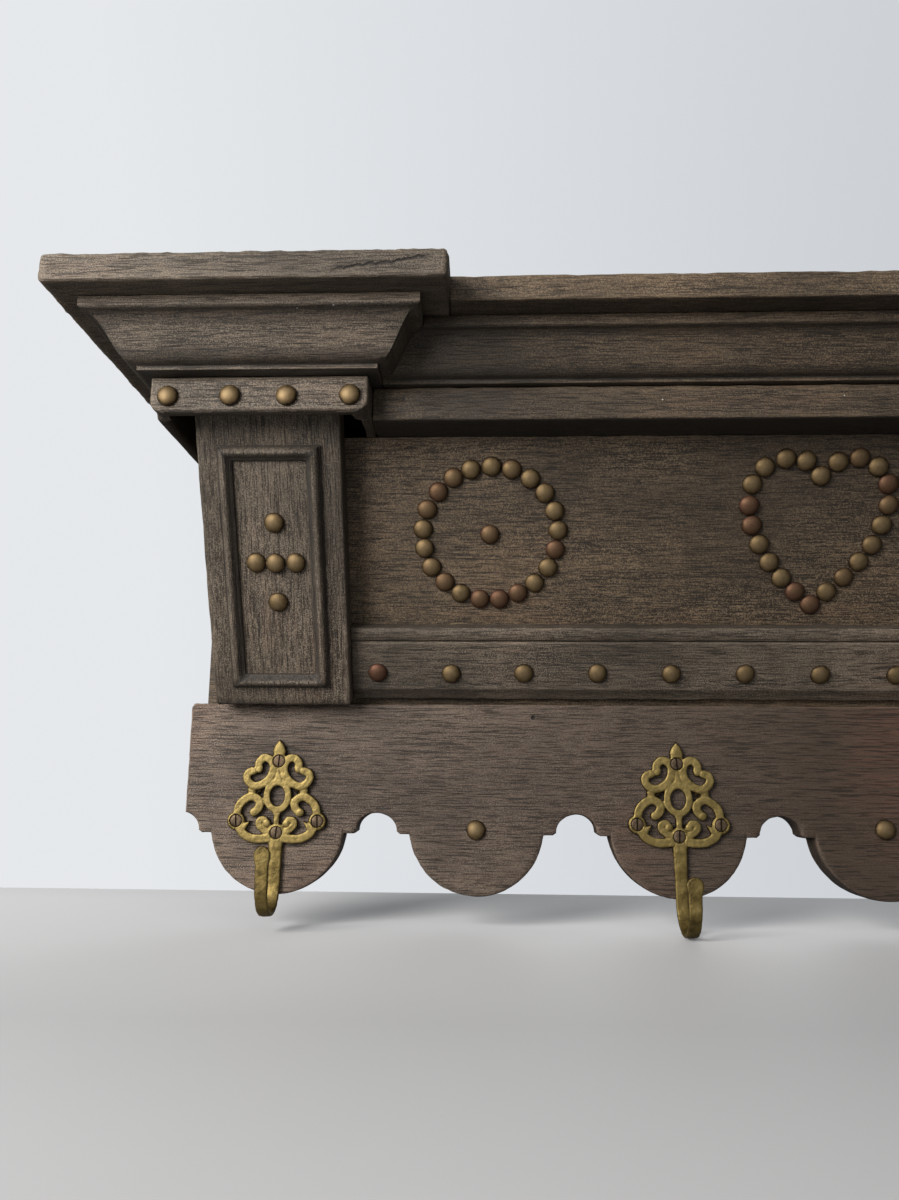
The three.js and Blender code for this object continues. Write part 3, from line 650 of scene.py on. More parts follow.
def slope_y(depth, z):
    return SLOPE_FOOT.y + depth / cos(SLOPE) - (z - SLOPE_FOOT.z) * math.tan(SLOPE)


meets_panel = SLOPE_FOOT.z + (SLOPE_FOOT.y + BACK_FACE + frieze_back / cos(SLOPE)) / math.tan(SLOPE)
run("frieze_board", [
    (slope_y(FRIEZE_DEPTH, frieze_lo.z), frieze_lo.z), (-BACK_FACE, frieze_lo.z), (-BACK_FACE, meets_panel),
    (slope_y(frieze_back, frieze_hi.z), frieze_hi.z), (slope_y(FRIEZE_DEPTH, frieze_hi.z), frieze_hi.z)],
    frieze_lo.x, frieze_hi.x, oak_slope, radius=0.6, seed=2.0)

rail_x = PILASTER_X - PILASTER_HALF - CLEARANCE
rail_back = FRIEZE_DEPTH - CLEARANCE
rail_face = FRIEZE_DEPTH - RAIL_THICK
bead = [(rail_face + 1 - 1.6 * cos(a), RAIL_HEIGHT - 4 + 4 * sin(a))
        for a in (radians(-90 + 30 * k) for k in range(7))]
run("rail_moulding", [(rail_back, 0.5), (rail_face + 4.5, 0.5), (rail_face, 8.2), (rail_face, 37.2),
                      (rail_face + 1.8, 38.2), *bead, (rail_back, RAIL_HEIGHT)],
    -rail_x, rail_x, oak_rail, matrix=SLOPE_MATRIX, radius=0.7, seed=3.0, step=2.5)


def on_slope(x, depth=0, up=0):
    return SLOPE_MATRIX @ Matrix.Translation((x, depth, up))


def pilaster_frame(end, side):
    """Mitred bolection moulding: a hollow outside, a round top and a long slope to the field."""
    half_out, half_in = 29.6, 20.9
    low_out, high_out = 12, 156
    width = half_out - half_in
    section = [(0, 0.2), (0.1, 1.2), (0.8, 1.5), (1.2, 2.7), (2.0, 3.9), (3.3, 4.7), (4.6, 4.6),
               (5.6, 3.8), (6.6, 2.5), (7.5, 1.9), (8.3, 1.6), (width, 0.4), (width, 0)]
    # Below zero is painted shade: in the outer hollow, down the inner slope and where the frame meets the
    # pilaster. Above zero is rubbed wear on the round top; the mitres are dark joints.
    section_wear_and_shade = [-0.8, -0.9, -0.8, -0.2, 0.3, 0.6, 0.2, -0.5, -0.9, -0.9, -0.6, -0.9, -1.0]
    mitre_wear, seat_shade, seat = -0.75, -0.8, 0.05
    verts, worn = [], []
    for (back, up), value in zip(section, section_wear_and_shade):
        x = half_out - back
        z0, z1 = low_out + back, high_out - back
        corners = [(-x, z0), (x, z0), (x, z1), (-x, z1)]
        for k in range(4):
            a, b = corners[k], corners[(k + 1) % 4]
            parts = 12 if k % 2 == 0 else 30
            for p in range(parts):
                t = p / parts
                verts.append((a[0] + (b[0] - a[0]) * t, -up, a[1] + (b[1] - a[1]) * t))
                worn.append(mitre_wear if p == 0 else value)
    ring = len(verts) // len(section)
    faces = skin(len(section), ring)
    base, last = len(verts), len(verts) - ring
    for x, _, z in verts[:ring] + verts[last:]:
        verts.append((x, -seat, z))
        worn.append(seat_shade)
    for i in range(ring):
        j = (i + 1) % ring
        faces += [(i, base + i, base + j, j), (last + i, last + j, base + ring + j, base + ring + i),
                  (base + i, base + ring + i, base + ring + j, base + j)]
    oak_piece(f"pilaster_frame_{end}", verts, faces, worn, 5.0 + side, oak_upright,
              on_slope(side * PILASTER_X), smooth_angle=60, bow=0.08, chip=0.25)


for end, side in SIDES:
    run(f"pilaster_{end}", box_outline(-PILASTER_HALF, PILASTER_HALF, 0, FRIEZE_DEPTH - CLEARANCE), 0,
        PILASTER_LENGTH, oak_upright, axis="z", matrix=on_slope(side * PILASTER_X), radius=1.7,
        spacing=4, round_end=1.8, seed=7.0 + side, chip=0.7)
    pilaster_frame(end, side)


# ---- cornice and capitals

def cyma(run_in):
    """Fillet and cyma from the top down: (step back from the fillet, height, corner radius)."""
    height = MOULD_TOP - MOULD_LOW
    steps = [(0, height, 0.3), (0, height - 5.4, 0.8), (0.06 * run_in, height - 6.6, 0.4)]
    for i in range(1, 14):
        t = i / 14
        fall = t ** 3 * (10 - 15 * t + 6 * t * t)
        steps.append((run_in * (0.06 + 0.9 * t), 2.9 + (height - 9.5) * (1 - fall), 0.4))
    return steps + [(run_in, 2.6, 0.7), (run_in, 0, 0.7)]


def cyma_back(z):
    """How far the capital's side face steps back at height z."""
    steps = cyma(CYMA_RUN)
    up = z - MOULD_LOW
    for (b0, u0, _), (b1, u1, _) in zip(steps, steps[1:]):
        if u1 <= up <= u0:
            return b0 + (b1 - b0) * ((u0 - up) / (u0 - u1) if u0 > u1 else 0)
    return 0 if up > steps[0][1] else CYMA_RUN


def coped(side):
    """Where the cornice moulding meets the capital's side, as a function of (y, z)."""
    return lambda y, z: side * (PILASTER_X - (CORONA_HALF - SOFFIT - cyma_back(z)) - CLEARANCE)


cornice_fillet = CORNICE_FRONT - SOFFIT
cornice_steps = cyma(cornice_fillet - FASCIA_FRONT - 3)
run("cornice_moulding", [(-MOULD_BACK, MOULD_LOW), (-MOULD_BACK, MOULD_TOP)] +
    [(back - cornice_fillet, MOULD_LOW + up, size) for back, up, size in cornice_steps],
    coped(-1), coped(1), oak_shadowed, round_end=0.1, seed=13.0, step=2.0, chip=0.6)

fascia_x = PILASTER_X - BLOCK_HALF - CLEARANCE
# The fascia's underside is painted darkest: a painted shadow under the cornice moulding.
run("cornice_fascia", [(-FASCIA_BACK, FASCIA_LOW), (-FASCIA_BACK, FASCIA_TOP),
                       (-FASCIA_FRONT, FASCIA_TOP, 1.2), (-FASCIA_FRONT, FASCIA_LOW, 2)],
    -fascia_x, fascia_x, oak_shadowed, round_end=0.4, seed=17.0, soffit=-1.0)

top_x = PILASTER_X - CORONA_HALF - CLEARANCE
run("top_board", box_outline(-CORNICE_FRONT, 0, TOP_Z - TOP_THICK, TOP_Z), -top_x, top_x, oak,
    radius=1.6, round_end=0.4, seed=19.0)


def capital_moulding(end, side):
    """The softened profile without its back, carried round three sides with mitred corners."""
    steps = [(back, MOULD_LOW + up, size) for back, up, size in cyma(CYMA_RUN)]
    core = 60
    points, wear_and_shade = soften([(core, MOULD_LOW), (core, MOULD_TOP)] + steps, 0.5, 1.6)
    flat = 0.9  # how much of the flat top and bottom is kept
    rows = [(p.x, p.y, w) for p, w in zip(points, wear_and_shade)
            if p.x < CYMA_RUN + flat and not (p.y > MOULD_TOP - 1e-4 and p.x > flat)]
    half, front = CORONA_HALF - SOFFIT, CORONA_FRONT - SOFFIT
    parts_side, parts_front = 26, 34
    verts, worn = [], []
    for back, z, value in rows:
        x, y = half - back, -(front - back)
        path = [(-x, -BACK_FACE + (y + BACK_FACE) * k / parts_side, 0) for k in range(parts_side)]
        path += [(-x + 2 * x * k / parts_front, y, k == 0) for k in range(parts_front)]
        path += [(x, y + (-BACK_FACE - y) * k / parts_side, k == 0) for k in range(parts_side + 1)]
        for px, py, corner in path:
            verts.append((side * PILASTER_X + px, py, z))
            # The bottom row is painted dark as painted shade under the moulding.
            worn.append(-1.0 if z < MOULD_LOW + 0.01 else 0.6 if corner else value)
    ring = len(verts) // len(rows)
    faces = skin(len(rows), ring)
    faces.append(tuple(range(ring)))
    faces.append(tuple((len(rows) - 1) * ring + i for i in reversed(range(ring))))
    oak_piece(f"capital_moulding_{end}", verts, faces, worn, 23.0 + side, oak_capital, chip=0.6)


def capital_block(end, side):
    """Thin tacked board with a long return to the wall outside and a short one inside."""
    inner, back = BLOCK_HALF - BLOCK_BOARD, 8 - BLOCK_FRONT
    outline = [(-BLOCK_HALF, 0), (-BLOCK_HALF, -BLOCK_FRONT, 1.6), (BLOCK_HALF, -BLOCK_FRONT, 1.6),
               (BLOCK_HALF, -BLOCK_RETURN), (inner, -BLOCK_RETURN), (inner, back), (-inner, back),
               (-inner, 0)]

    def round_corner(x, y, z, size=6.5, reach=14):
        short = max(0, size - (z - BLOCK_LOW)) if y < -BLOCK_FRONT + 12 else 0
        cut = size - sqrt(size ** 2 - short ** 2)
        near_end = max(0, abs(x) - BLOCK_HALF + reach) / reach
        return x - math.copysign(cut * near_end, x), y, z

    run(f"capital_block_{end}", [(side * -a[0], *a[1:]) for a in outline], BLOCK_LOW,
        MOULD_LOW - CLEARANCE, oak_capital, axis="z", matrix=Matrix.Translation((side * PILASTER_X, 0, 0)),
        radius=0.7, spacing=1.8, round_end=1.7, seed=29.0 + side, chip=0.5, shape=round_corner)


for end, side in SIDES:
    capital_moulding(end, side)
    capital_block(end, side)
    # The corona's underside gets only a little painted shade.
    run(f"corona_{end}", box_outline(-CORONA_FRONT, 0, TOP_Z - TOP_THICK, TOP_Z),
        side * PILASTER_X - CORONA_HALF, side * PILASTER_X + CORONA_HALF, oak_slab,
        radius=1.8, round_end=2.0, spacing=3, step=2.0, seed=31.0 + side, chip=1.0, soffit=-0.2)


# ---- tacks

def tack_into(bm, layers, matrix, x, z, draw, red):
    """One domed head, a little out of round, with its own tone of brass."""
    segments, rings = 22, 8
    tilt, sunk, rim = 0.05, 0.25, 0.5
    lean = (Matrix.Rotation(draw.uniform(-tilt, tilt), 4, "X")
            @ Matrix.Rotation(draw.uniform(-tilt, tilt), 4, "Z"))
    oval = 1 + draw.uniform(-0.02, 0.02)
    dent = draw.uniform(0, 2 * pi)
    place = matrix @ Matrix.Translation((x, -sunk, z)) @ lean
    shade = min(1.0, red * draw.random() ** 1.4)
    turns = [2 * pi * s / segments for s in range(segments)]

    def vertex(across, out, up, height):
        made = bm.verts.new((place @ Vector((across, -out, up))) * MM)
        made[layers[0]], made[layers[1]] = height, shade
        return made

    dome = []
    for r in range(rings + 1):
        angle = (pi / 2) * r / rings
        across = TACK_RADIUS * cos(angle)
        out = rim + (TACK_HEIGHT - 0.7) * sin(angle) ** 1.15
        if r == rings:
            dome.append([vertex(0, out, 0, 1.0)] * segments)
            break
        circle = []
        for turn in turns:
            flat = 1 - 0.02 * max(0, cos(turn - dent)) ** 4
            circle.append(vertex(across * cos(turn) * oval * flat, out, across * sin(turn) * flat,
                                 min(1, 0.05 + 1.25 * r / rings)))
        dome.append(circle)
    foot = TACK_RADIUS * 0.96
    base = [vertex(foot * cos(turn) * oval, 0, foot * sin(turn), 0.0) for turn in turns]
    bridge(bm, [base] + dome)
    bm.faces.new(base[::-1])


def tacks(name, places, matrix, replaced, seed, red=0.8):
    draw = random.Random(seed)
    bm = bmesh.new()
    layers = (bm.verts.layers.float.new("high"), bm.verts.layers.float.new("tone"))
    for x, z, *own in places:
        x += draw.uniform(-TACK_JITTER, TACK_JITTER)
        z += draw.uniform(-TACK_JITTER, TACK_JITTER)
        tack_into(bm, layers, matrix, x, z, draw, own[0] if own else red)
    finish_piece(name, mesh_from(bm, name), tack_brass, replaced, smooth_angle=50)


def smooth_line(points, count):
    """Evenly spaced points on a Catmull-Rom line through the given ones."""
    points = [np.array(p, float) for p in points]
    points = [2 * points[0] - points[1], *points, 2 * points[-1] - points[-2]]
    fine = []
    for p0, p1, p2, p3 in zip(points, points[1:], points[2:], points[3:]):
        for k in range(24):
            t = k / 24
            fine.append(0.5 * (2 * p1 + (p2 - p0) * t + (2 * p0 - 5 * p1 + 4 * p2 - p3) * t * t
                               + (3 * p1 - p0 - 3 * p2 + p3) * t ** 3))
    fine = np.array(fine + [points[-2]])
    steps = np.concatenate([[0], np.cumsum(np.linalg.norm(np.diff(fine, axis=0), axis=1))])
    return [tuple(np.interp(w, steps, fine[:, k]) for k in range(2))
            for w in np.linspace(0, steps[-1], count + 1)]


RING_X, RING_UP, RING_RADIUS, RING_TACKS = 291.6, 102, 39.8, 21
circle = [(RING_RADIUS * cos(a), RING_RADIUS * sin(a))
          for a in (2 * pi * i / RING_TACKS + 0.06 for i in range(RING_TACKS))]

HEART_X, HEART_UP, HEART_TACKS = 102, 102, 22
HEART_HALF = [(0, 33.5), (9, 41.5), (22, 43.5), (34, 36.5), (40, 22), (37, 4), (28.5, -13), (16.5, -28),
              (0, -42.5)]
heart_right = smooth_line(HEART_HALF, HEART_TACKS // 2)
heart = heart_right + [(-x, z) for x, z in reversed(heart_right[1:-1])]

RAIL_TACKS_UP, RAIL_TACK_FIRST, RAIL_TACK_STEP = 18.4, 359.5, 44.1
CAPITAL_TACKS_Z = 190.4
CROSS_SHIFT, CROSS_UP = 0.9, 88.4
CROSS = [(-11.7, 0), (0, 0), (11.7, 0), (0, 23.3), (0, -23.3)]
LATER = 4.0  # a tack with this share of red is a later, redder one

rail_places = [(0, 0)]
for i in range(8):
    own = (LATER,) if i == 0 else ()
    rail_places += [(RAIL_TACK_FIRST - i * RAIL_TACK_STEP, 0, *own),
                    (i * RAIL_TACK_STEP - RAIL_TACK_FIRST, 0, *own)]
tacks("rail_brass_tacks", sorted(rail_places), on_slope(0, rail_face, RAIL_TACKS_UP), ["rail_tacks"], 1,
      red=0.35)

for end, side in SIDES:
    x = side * PILASTER_X
    tacks(f"capital_brass_tacks_{end}", [(-49.4, 0), (-15.2, 0), (15.2, 0), (49.4, 0)],
          Matrix.Translation((x, -BLOCK_FRONT, CAPITAL_TACKS_Z)), [f"capital_tacks_{end}"], 10 + side,
          red=0.4)
    tacks(f"pilaster_brass_tacks_{end}", CROSS, on_slope(x + CROSS_SHIFT, 0, CROSS_UP),
          [f"pilaster_tacks_{end}"], 20 + side, red=0.4)
    tacks(f"circle_brass_tacks_{end}", circle + [(0, 0, LATER)],
          on_slope(side * RING_X, FRIEZE_DEPTH, RING_UP),
          [f"circle_tacks_{end}", f"circle_centre_tack_{end}"], 30 + side)
    tacks(f"heart_brass_tacks_{end}", heart, on_slope(side * HEART_X, FRIEZE_DEPTH, HEART_UP),
          [f"heart_tacks_{end}"], 40 + side)
for i, k in enumerate((1, 3, 4, 6), 1):
    seat = Matrix.Translation((scallop_x(k), -BOARD_FACE, STUD_Z + (STUD_LIFT if k == 3 else 0)))
    tacks(f"board_brass_stud_{i}", [(0, 0)], seat, [f"board_stud_{i}"], 50 + i, red=0.2)


# ---- hooks

UPPER_LOOP = [(11.7, 37.4), (12.2, 41), (9.2, 44.2), (5.2, 43), (3.3, 38.4), (4.9, 32.6), (9.4, 28.6),
              (14.8, 27.5), (18.9, 31), (18.6, 34.9), (15, 36.6)]
SIDE_SCROLL = [(13.8, 11.6), (11, 14.6), (10.7, 17.6), (12.4, 19.9), (16.1, 21.1), (20.3, 18.9), (23.4, 15),
               (24.4, 9.6)]
LOWER_BAND = [(22.6, 3.2), (20.2, -0.5), (15.2, -3.1), (9.6, -3.7), (3.6, -3)]
LOWER_SCROLL = [(5.9, 5.2), (7.4, 7.6), (10, 7.2), (10.8, 4.8), (8.4, 2), (4.2, 0)]
STRANDS = ((UPPER_LOOP, 60, 5.1, 3.05), (SIDE_SCROLL, 44, 5.3, 3.0), (LOWER_BAND, 28, 5.4, 3.0),
           (LOWER_SCROLL, 30, 4.3, 2.9))  # line, points on it, width, height
LEAF = [(15.7, 7), (17.4, 3.4), (19.2, 0.2), (21.5, 2), (21.8, 5.4)]
BEADS = ((2.5, 11.9, 37.3, 3.15), (2.5, 15.0, 36.4, 3.15), (2.9, 13.9, 11.9, 3.15), (2.6, 5.9, 5.4, 3.15),
         (3.0, 15.8, 24.8, 2.7), (1.5, 11.3, 24.6, 1.9))  # radius, across, up, height
FINIAL = [(-2.6, 42), (2.6, 42), (3.6, 45), (4.2, 48), (3.2, 51.4), (1.4, 54), (0, 55.4), (-1.4, 54),
          (-3.2, 51.4), (-4.2, 48), (-3.6, 45)]
NECK_TOP = [(-4.6, 28.6), (4.6, 28.6), (2.6, 32), (1.4, 40), (-1.4, 40), (-2.6, 32)]
NECK_LOW = [(-1.9, 3), (1.9, 3), (2.1, 10), (3.8, 14.5), (-3.8, 14.5), (-2.1, 10)]
NECK_STEM = [(-5.2, 0.5), (-4.7, -6), (-4.1, -12), (4.1, -12), (4.7, -6), (5.2, 0.5)]
PLATE_SCREWS = (("top", 0, 42.3), ("left", -24.6, 6.8), ("right", 24.6, 6.8), ("bottom", 0, 0))
SECTION = [(-0.5, 0), (-0.5, 0.68), (-0.47, 0.88), (-0.37, 0.98), (-0.2, 1), (0.2, 1), (0.37, 0.98),
           (0.47, 0.88), (0.5, 0.68), (0.5, 0)]
STRIP_SECTION = [(-1, -0.5), (-0.86, -0.92), (-0.4, -1), (0.4, -1), (0.86, -0.92), (1, -0.5), (1, 0.4),
                 (0.84, 0.9), (0.4, 1.08), (-0.4, 1.08), (-0.84, 0.9), (-1, 0.4)]


def sweep_into(bm, line, width, height, closed=False):
    """A D-shaped strand along a line in (across, up), flat behind and rounded in front."""
    rings = []
    first, last = (line[-1], line[0]) if closed else (line[0], line[-1])
    for behind, here, ahead in zip([first, *line], line, [*line[1:], last]):
        here = Vector(here)
        along = (Vector(ahead) - Vector(behind)).normalized()
        side = Vector((-along.y, along.x))
        rings.append([bm.verts.new((here.x + side.x * a * width, -b * height, here.y + side.y * a * width))
                      for a, b in SECTION])
    if closed:
        bridge(bm, rings + rings[:1])
    else:
        bridge_and_cap(bm, rings)


def pillow_into(bm, outline, height):
    """A flat-backed shape with a domed face."""
    centre = sum((Vector(p) for p in outline), Vector((0, 0))) / len(outline)
    bridge_and_cap(bm, [
        [bm.verts.new((centre.x + (p[0] - centre.x) * scale, -up * height,
                       centre.y + (p[1] - centre.y) * scale)) for p in outline]
        for scale, up in ((1, 0), (1, 0.55), (0.93, 0.8), (0.72, 0.95), (0.35, 1.03))])


def disc(radius, x, z, count=20):
    return [(x + radius * cos(2 * pi * k / count), z + radius * sin(2 * pi * k / count))
            for k in range(count)]


def mirrored(points, flip):
    return [(flip * a, b) for a, b in points]


def curl_into(bm, drop, tip, sway):
    """The strip: down from the plate, forward in a half circle and up to a wider round end."""
    bend, width_at_top, waist, width_at_tip, round_tip = 15.3, 8.1, 0.9, 9.7, 5.0
    middle_y, middle_z = -PLATE_THICK / 2 - bend, -drop + bend + PLATE_THICK / 2
    line = [(-PLATE_THICK / 2, z) for z in np.linspace(-4, middle_z + 1, 14)]
    line += [(middle_y + bend * cos(a), middle_z + bend * sin(a))
             for a in (-pi * k / 30 for k in range(31))]
    end = tip + 3.8
    line += [(middle_y - bend, z) for z in np.linspace(middle_z + 1, end - 5, 18)]
    line += [(middle_y - bend, z) for z in np.linspace(end - 4.6, end - 0.03, 16)]
    lengths = np.concatenate([[0], np.cumsum([math.dist(a, b) for a, b in zip(line, line[1:])])])
    total = lengths[-1]
    rings = []
    for i, (y, z) in enumerate(line):
        before, after = line[max(i - 1, 0)], line[min(i + 1, len(line) - 1)]
        along = (Vector(after) - Vector(before)).normalized()
        out = Vector((along.y, -along.x))
        left = total - lengths[i]
        share = lengths[i] / total
        width = width_at_top - waist * sin(pi * share)
        if left < 11:
            width += (width_at_tip - width) * (0.5 + 0.5 * cos(pi * max(0, left - 5) / 6))
        if left < 4.8:
            width = 2 * sqrt(max(0.05, round_tip ** 2 - (round_tip - left) ** 2))
        thick = 2.9 - 0.5 * min(1, 3 * share) * (1 if left > 10 else left / 10)
        shift = sway * share ** 2
        half_w, half_t = width / 2, thick / 2
        ring = []
        for a, b in STRIP_SECTION:
            offset = out * (-b * half_t)
            ring.append(bm.verts.new((shift + a * half_w, y + offset.x, z + offset.y)))
        rings.append(ring)
    bridge_and_cap(bm, rings)


def cast_hook(index, x, drop, tip, sway):
    """Strands, beads and strip melted into one casting, then seated, pitted and toned."""
    name = f"hook_{index}_casting"
    bm = bmesh.new()
    for flip in (1, -1):
        for line, count, width, height in STRANDS:
            sweep_into(bm, smooth_line(mirrored(line, flip), count), width, height)
        pillow_into(bm, mirrored(LEAF, flip), 2.9)
        for radius, across, up, height in BEADS:
            pillow_into(bm, disc(radius, flip * across, up), height)
        pillow_into(bm, disc(5.6, flip * 24.6, 6.8, 28), 3.1)
    oval = [(6.55 * cos(a), 21.5 + 8.1 * sin(a)) for a in (2 * pi * k / 48 for k in range(48))]
    sweep_into(bm, oval, 4.3, 3.1, closed=True)
    for shape, height in ((FINIAL, 3.1), (NECK_TOP, 2.9), (NECK_LOW, 2.9), (NECK_STEM, 2.95)):
        pillow_into(bm, shape, height)
    pillow_into(bm, disc(5.3, 0, 42.3, 28), 3.1)
    pillow_into(bm, disc(5.7, 0, 0, 28), 3.1)
    curl_into(bm, drop, tip, sway)

    holder = add_object(name + "_rough", mesh_from(bm, name, Matrix.Scale(MM, 4)))
    remesh = holder.modifiers.new("cast", "REMESH")
    remesh.mode = "VOXEL"
    remesh.voxel_size = 0.38 * MM
    smooth = holder.modifiers.new("soften", "SMOOTH")
    smooth.factor, smooth.iterations = 0.5, 1
    graph = bpy.context.evaluated_depsgraph_get()
    mesh = bpy.data.meshes.new_from_object(holder.evaluated_get(graph))
    bpy.data.objects.remove(holder)

    places, normals = mesh_arrays(mesh)
    high, tone = [], []
    seat_radius, seat_front = 3.8, 1.75  # flat place under each screw head
    for i, (point, normal) in enumerate(zip(places.tolist(), normals.tolist())):
        at = Vector(point)
        front = -at.y
        for _, u, v in PLATE_SCREWS:
            if math.hypot(at.x - u, at.z - v) < seat_radius and 1.4 < front < 3.6:
                front = min(front, seat_front)
        at.y = -front
        pit = 0.16 * noise.noise(at * 0.35) + 0.08 * noise.noise(at * 1.1)
        strip = at.z < -9 or front > 4
        relief = min(1.0, max(0.0, (front - 2.1) / 0.75))
        high.append(0.62 + 0.5 * noise.noise(at * 0.12) if strip else relief)
        tone.append(0.2 + 0.2 * noise.noise(at * 0.05))
        at += Vector(normal) * (pit - 0.05)
        places[i] = (at.x, min(at.y, -0.02), at.z)
    set_places(mesh, places + np.array(Vector((x, -PLATE_BACK, HOOK_SCREW_Z))))
    attribute(mesh, "high", high)
    attribute(mesh, "tone", tone)
    finish_piece(name, mesh, hook_brass, [f"hook_{index}"], smooth_angle=80)


SCREW_PROFILE = [(0.0, 0.12), (1.2, 0.1), (2.4, 0.04), (3.2, -0.06), (3.55, -0.3), (3.62, -0.6), (2.2, -1.9),
                 (1.8, -2.3), (1.8, -11), (0.6, -13)]  # radius, how far out


def slotted_screw(name, x, z, head_y, turn, replaced):
    """Flat worn head with a cut slot and a short shank."""
    bm = bmesh.new()
    segments = 32
    rings = []
    for radius, out in SCREW_PROFILE:
        if radius == 0:
            rings.append([bm.verts.new((0, -out, 0))] * segments)
            continue
        rings.append([bm.verts.new((across, -out, up)) for across, up in disc(radius, 0, 0, segments)])
    bridge(bm, rings)
    bm.faces.new(rings[-1][::-1])
    slot_half, slot_wall, slot_deep, head_thick = 0.42, 0.08, 0.8, 0.31
    for offset in (-slot_half - slot_wall, -slot_half, slot_half, slot_half + slot_wall):
        everything = list(bm.verts) + list(bm.edges) + list(bm.faces)
        bmesh.ops.bisect_plane(bm, geom=everything, plane_co=(offset, 0, 0), plane_no=(1, 0, 0))
    for vertex in bm.verts:
        if abs(vertex.co.x) <= slot_half + 1e-4 and vertex.co.y < head_thick:
            vertex.co.y += slot_deep
    high = bm.verts.layers.float.new("high")
    tone = bm.verts.layers.float.new("tone")
    for vertex in bm.verts:
        uneven = noise.noise(vertex.co * 0.6 + Vector((x, 0, z)))
        vertex[high] = 0.05 if vertex.co.y > 0.25 else 0.55 + 0.35 * uneven
        vertex[tone] = 0.3
    matrix = Matrix.Scale(MM, 4) @ Matrix.Translation((x, head_y, z)) @ Matrix.Rotation(turn, 4, "Y")
    finish_piece(name, mesh_from(bm, name, matrix), screw_metal, replaced, smooth_angle=35)


HOOK_SCALLOPS = (0, 2, 5, 7)
HOOK_BENDS = ((46, -9.5, -0.6), (54.5, -23.5, 1.2), (52, -20, -0.8), (48, -12, 0.5))  # drop, tip, sway
screw_draw = random.Random(77)
for index, (scallop, bends) in enumerate(zip(HOOK_SCALLOPS, HOOK_BENDS), 1):
    x = scallop_x(scallop)
    cast_hook(index, x, *bends)
    for place, u, v in PLATE_SCREWS:
        slotted_screw(f"hook_{index}_slotted_screw_{place}", x + u, HOOK_SCREW_Z + v, -PLATE_BACK - 2.4,
                      screw_draw.uniform(-0.12, 0.12), [f"hook_{index}_screw_{place}"])


# ---- pieces kept from the CAD

def dress(name, material, bevel):
    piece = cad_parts[name]
    for place in piece.material_slots:
        place.material = material
    modifier = piece.modifiers.new("worn_edges", "BEVEL")
    modifier.width = bevel * MM
    modifier.segments = 3
    modifier.limit_method = "ANGLE"
    modifier.angle_limit = radians(30)


dress("back_panel", oak, 0.6)
for end, _ in SIDES:
    dress(f"end_cheek_{end}", oak_upright, 0.6)
    dress(f"hanger_plate_{end}", iron, 0.25)
    for place in ("outer", "inner"):
        dress(f"hanger_screw_{end}_{place}", hanger_screw_metal, 0.12)


# ---- camera, floor and light

CAMERA_PLACE = Vector((-295.4, -572.1, -11.3))
CAMERA_PITCH = radians(11.25)
CAMERA_YAW = radians(2.24)
CAMERA_ROLL = radians(0.46)
CAMERA_LENS = 26.91

camera_data = bpy.data.cameras.new("camera")
camera_data.sensor_width = 36
camera_data.lens = CAMERA_LENS
camera_data.clip_start = 0.01
camera = add_object("camera", camera_data)
camera.matrix_world = (Matrix.Translation(CAMERA_PLACE * MM) @ Matrix.Rotation(CAMERA_YAW, 4, "Z")
                       @ Matrix.Rotation(pi / 2 + CAMERA_PITCH, 4, "X")
                       @ Matrix.Rotation(CAMERA_ROLL, 4, "Z"))
bpy.context.scene.camera = camera


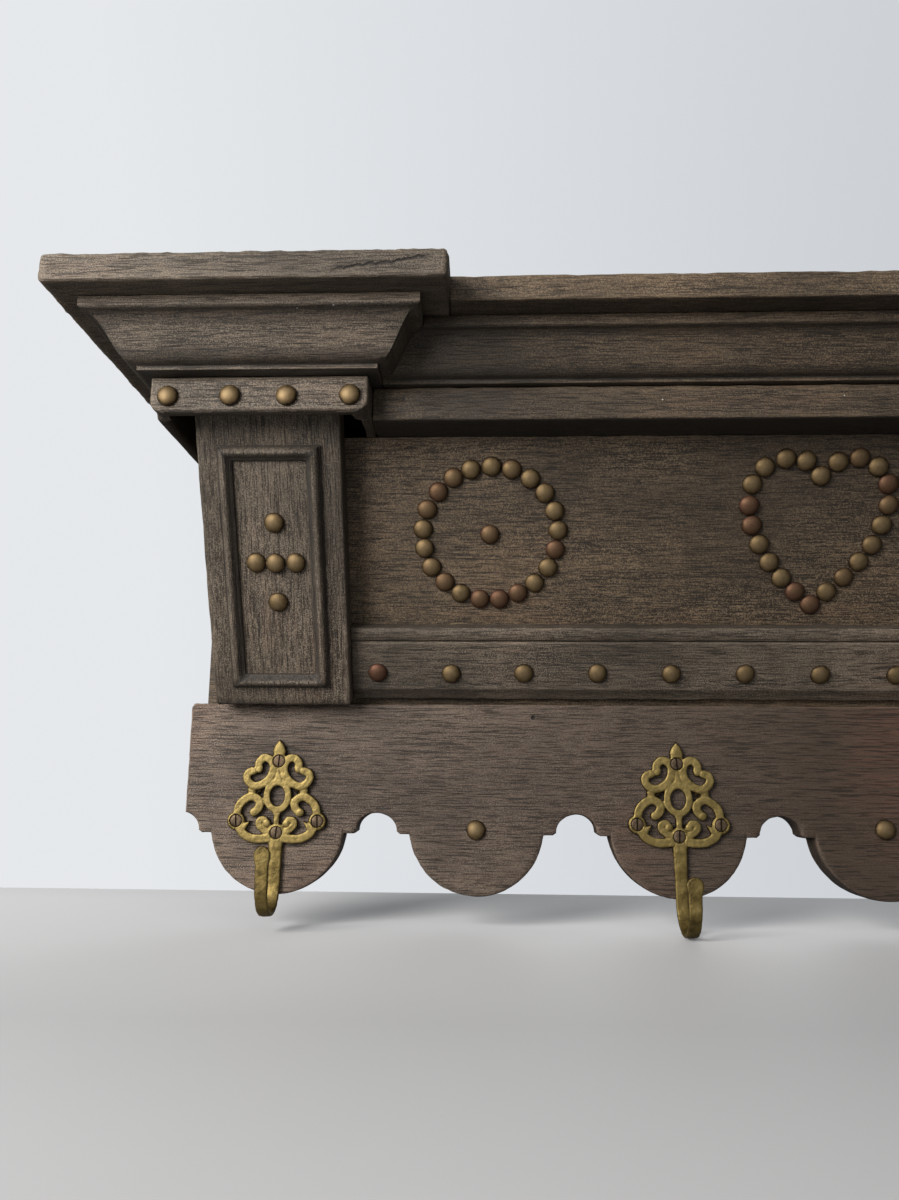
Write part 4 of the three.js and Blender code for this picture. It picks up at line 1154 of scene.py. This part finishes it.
def floor():
    level = cad_bounds[0][2] - 0.0005
    half_x, front, back = 3.0, -3.0, 0.157
    mesh = bpy.data.meshes.new("floor")
    mesh.from_pydata([(-half_x, front, level), (half_x, front, level), (half_x, back, level),
                      (-half_x, back, level)], [], [(0, 1, 2, 3)])
    material = bpy.data.materials.new("floor")
    t = Nodes(material)
    place = t.add("TexCoord")["Object"]
    colour = t.mix(t.noise(place, scale=5), (0.40, 0.40, 0.405), (0.44, 0.44, 0.445))
    depth = t.add("SeparateXYZ", {0: place})["Y"]
    # Painted light: the floor is painted lighter towards the wall, where the rack's shadow falls.
    colour = t.mix(t.ramp(depth, -0.22, 0.1), colour, (0.66, 0.66, 0.665))
    seen = t.add("LightPath")["Is Camera Ray"]
    t.surface(t.mix(seen, (0.22, 0.22, 0.22), colour), 0.6)
    mesh.materials.append(material)
    add_object("floor", mesh)


floor()


def area_light(name, place, target, size, power, colour):
    data = bpy.data.lights.new(name, "AREA")
    data.shape = "DISK"
    data.size = size
    data.energy = power
    data.color = colour
    light = add_object(name, data)
    light.location = place
    light.rotation_euler = (Vector(target) - Vector(place)).to_track_quat("-Z", "Y").to_euler()


area_light("key", (-1.1, -1.0, 0.47), (-0.35, -0.05, 0.05), 0.8, 31, (1.0, 0.98, 0.95))
area_light("fill", (0.5, -1.9, 0.9), (0, -0.05, 0.05), 1.8, 7, (0.95, 0.975, 1.0))
area_light("back", (0.4, 1.7, 0.75), (0, 0, 0.08), 1.6, 9, (0.97, 0.98, 1.0))


def studio_world():
    """Pale backdrop, painted darker towards the right as painted shade, while the room itself is bright
    towards the upper left front only.
    """
    world = bpy.data.worlds.new("studio")
    bpy.context.scene.world = world
    t = Nodes(world)
    direction = t.add("TexCoord")["Generated"]
    toward = t.vector_math("DOT_PRODUCT", direction, (-0.62, -0.55, 0.56), "Value")
    room = t.add("Background", {"Color": (0.93, 0.965, 1), "Strength": t.ramp(toward, -0.2, 1.0, 0.03, 0.6)})
    across = t.add("SeparateXYZ", {0: direction})["X"]
    # Painted shade: the backdrop is painted darker towards the right, as the light falls off.
    pale = t.mix(t.ramp(across, -0.35, 0.55), (0.79, 0.81, 0.835), (0.57, 0.595, 0.63))
    backdrop = t.add("Background", {"Color": pale, "Strength": 1.0})
    seen = t.add("LightPath")["Is Camera Ray"]
    mixed = t.add("MixShader", {0: seen, 1: room[0], 2: backdrop[0]})
    t.add("OutputWorld", {"Surface": mixed[0]})


studio_world()
bpy.context.scene.view_settings.view_transform = "Standard"
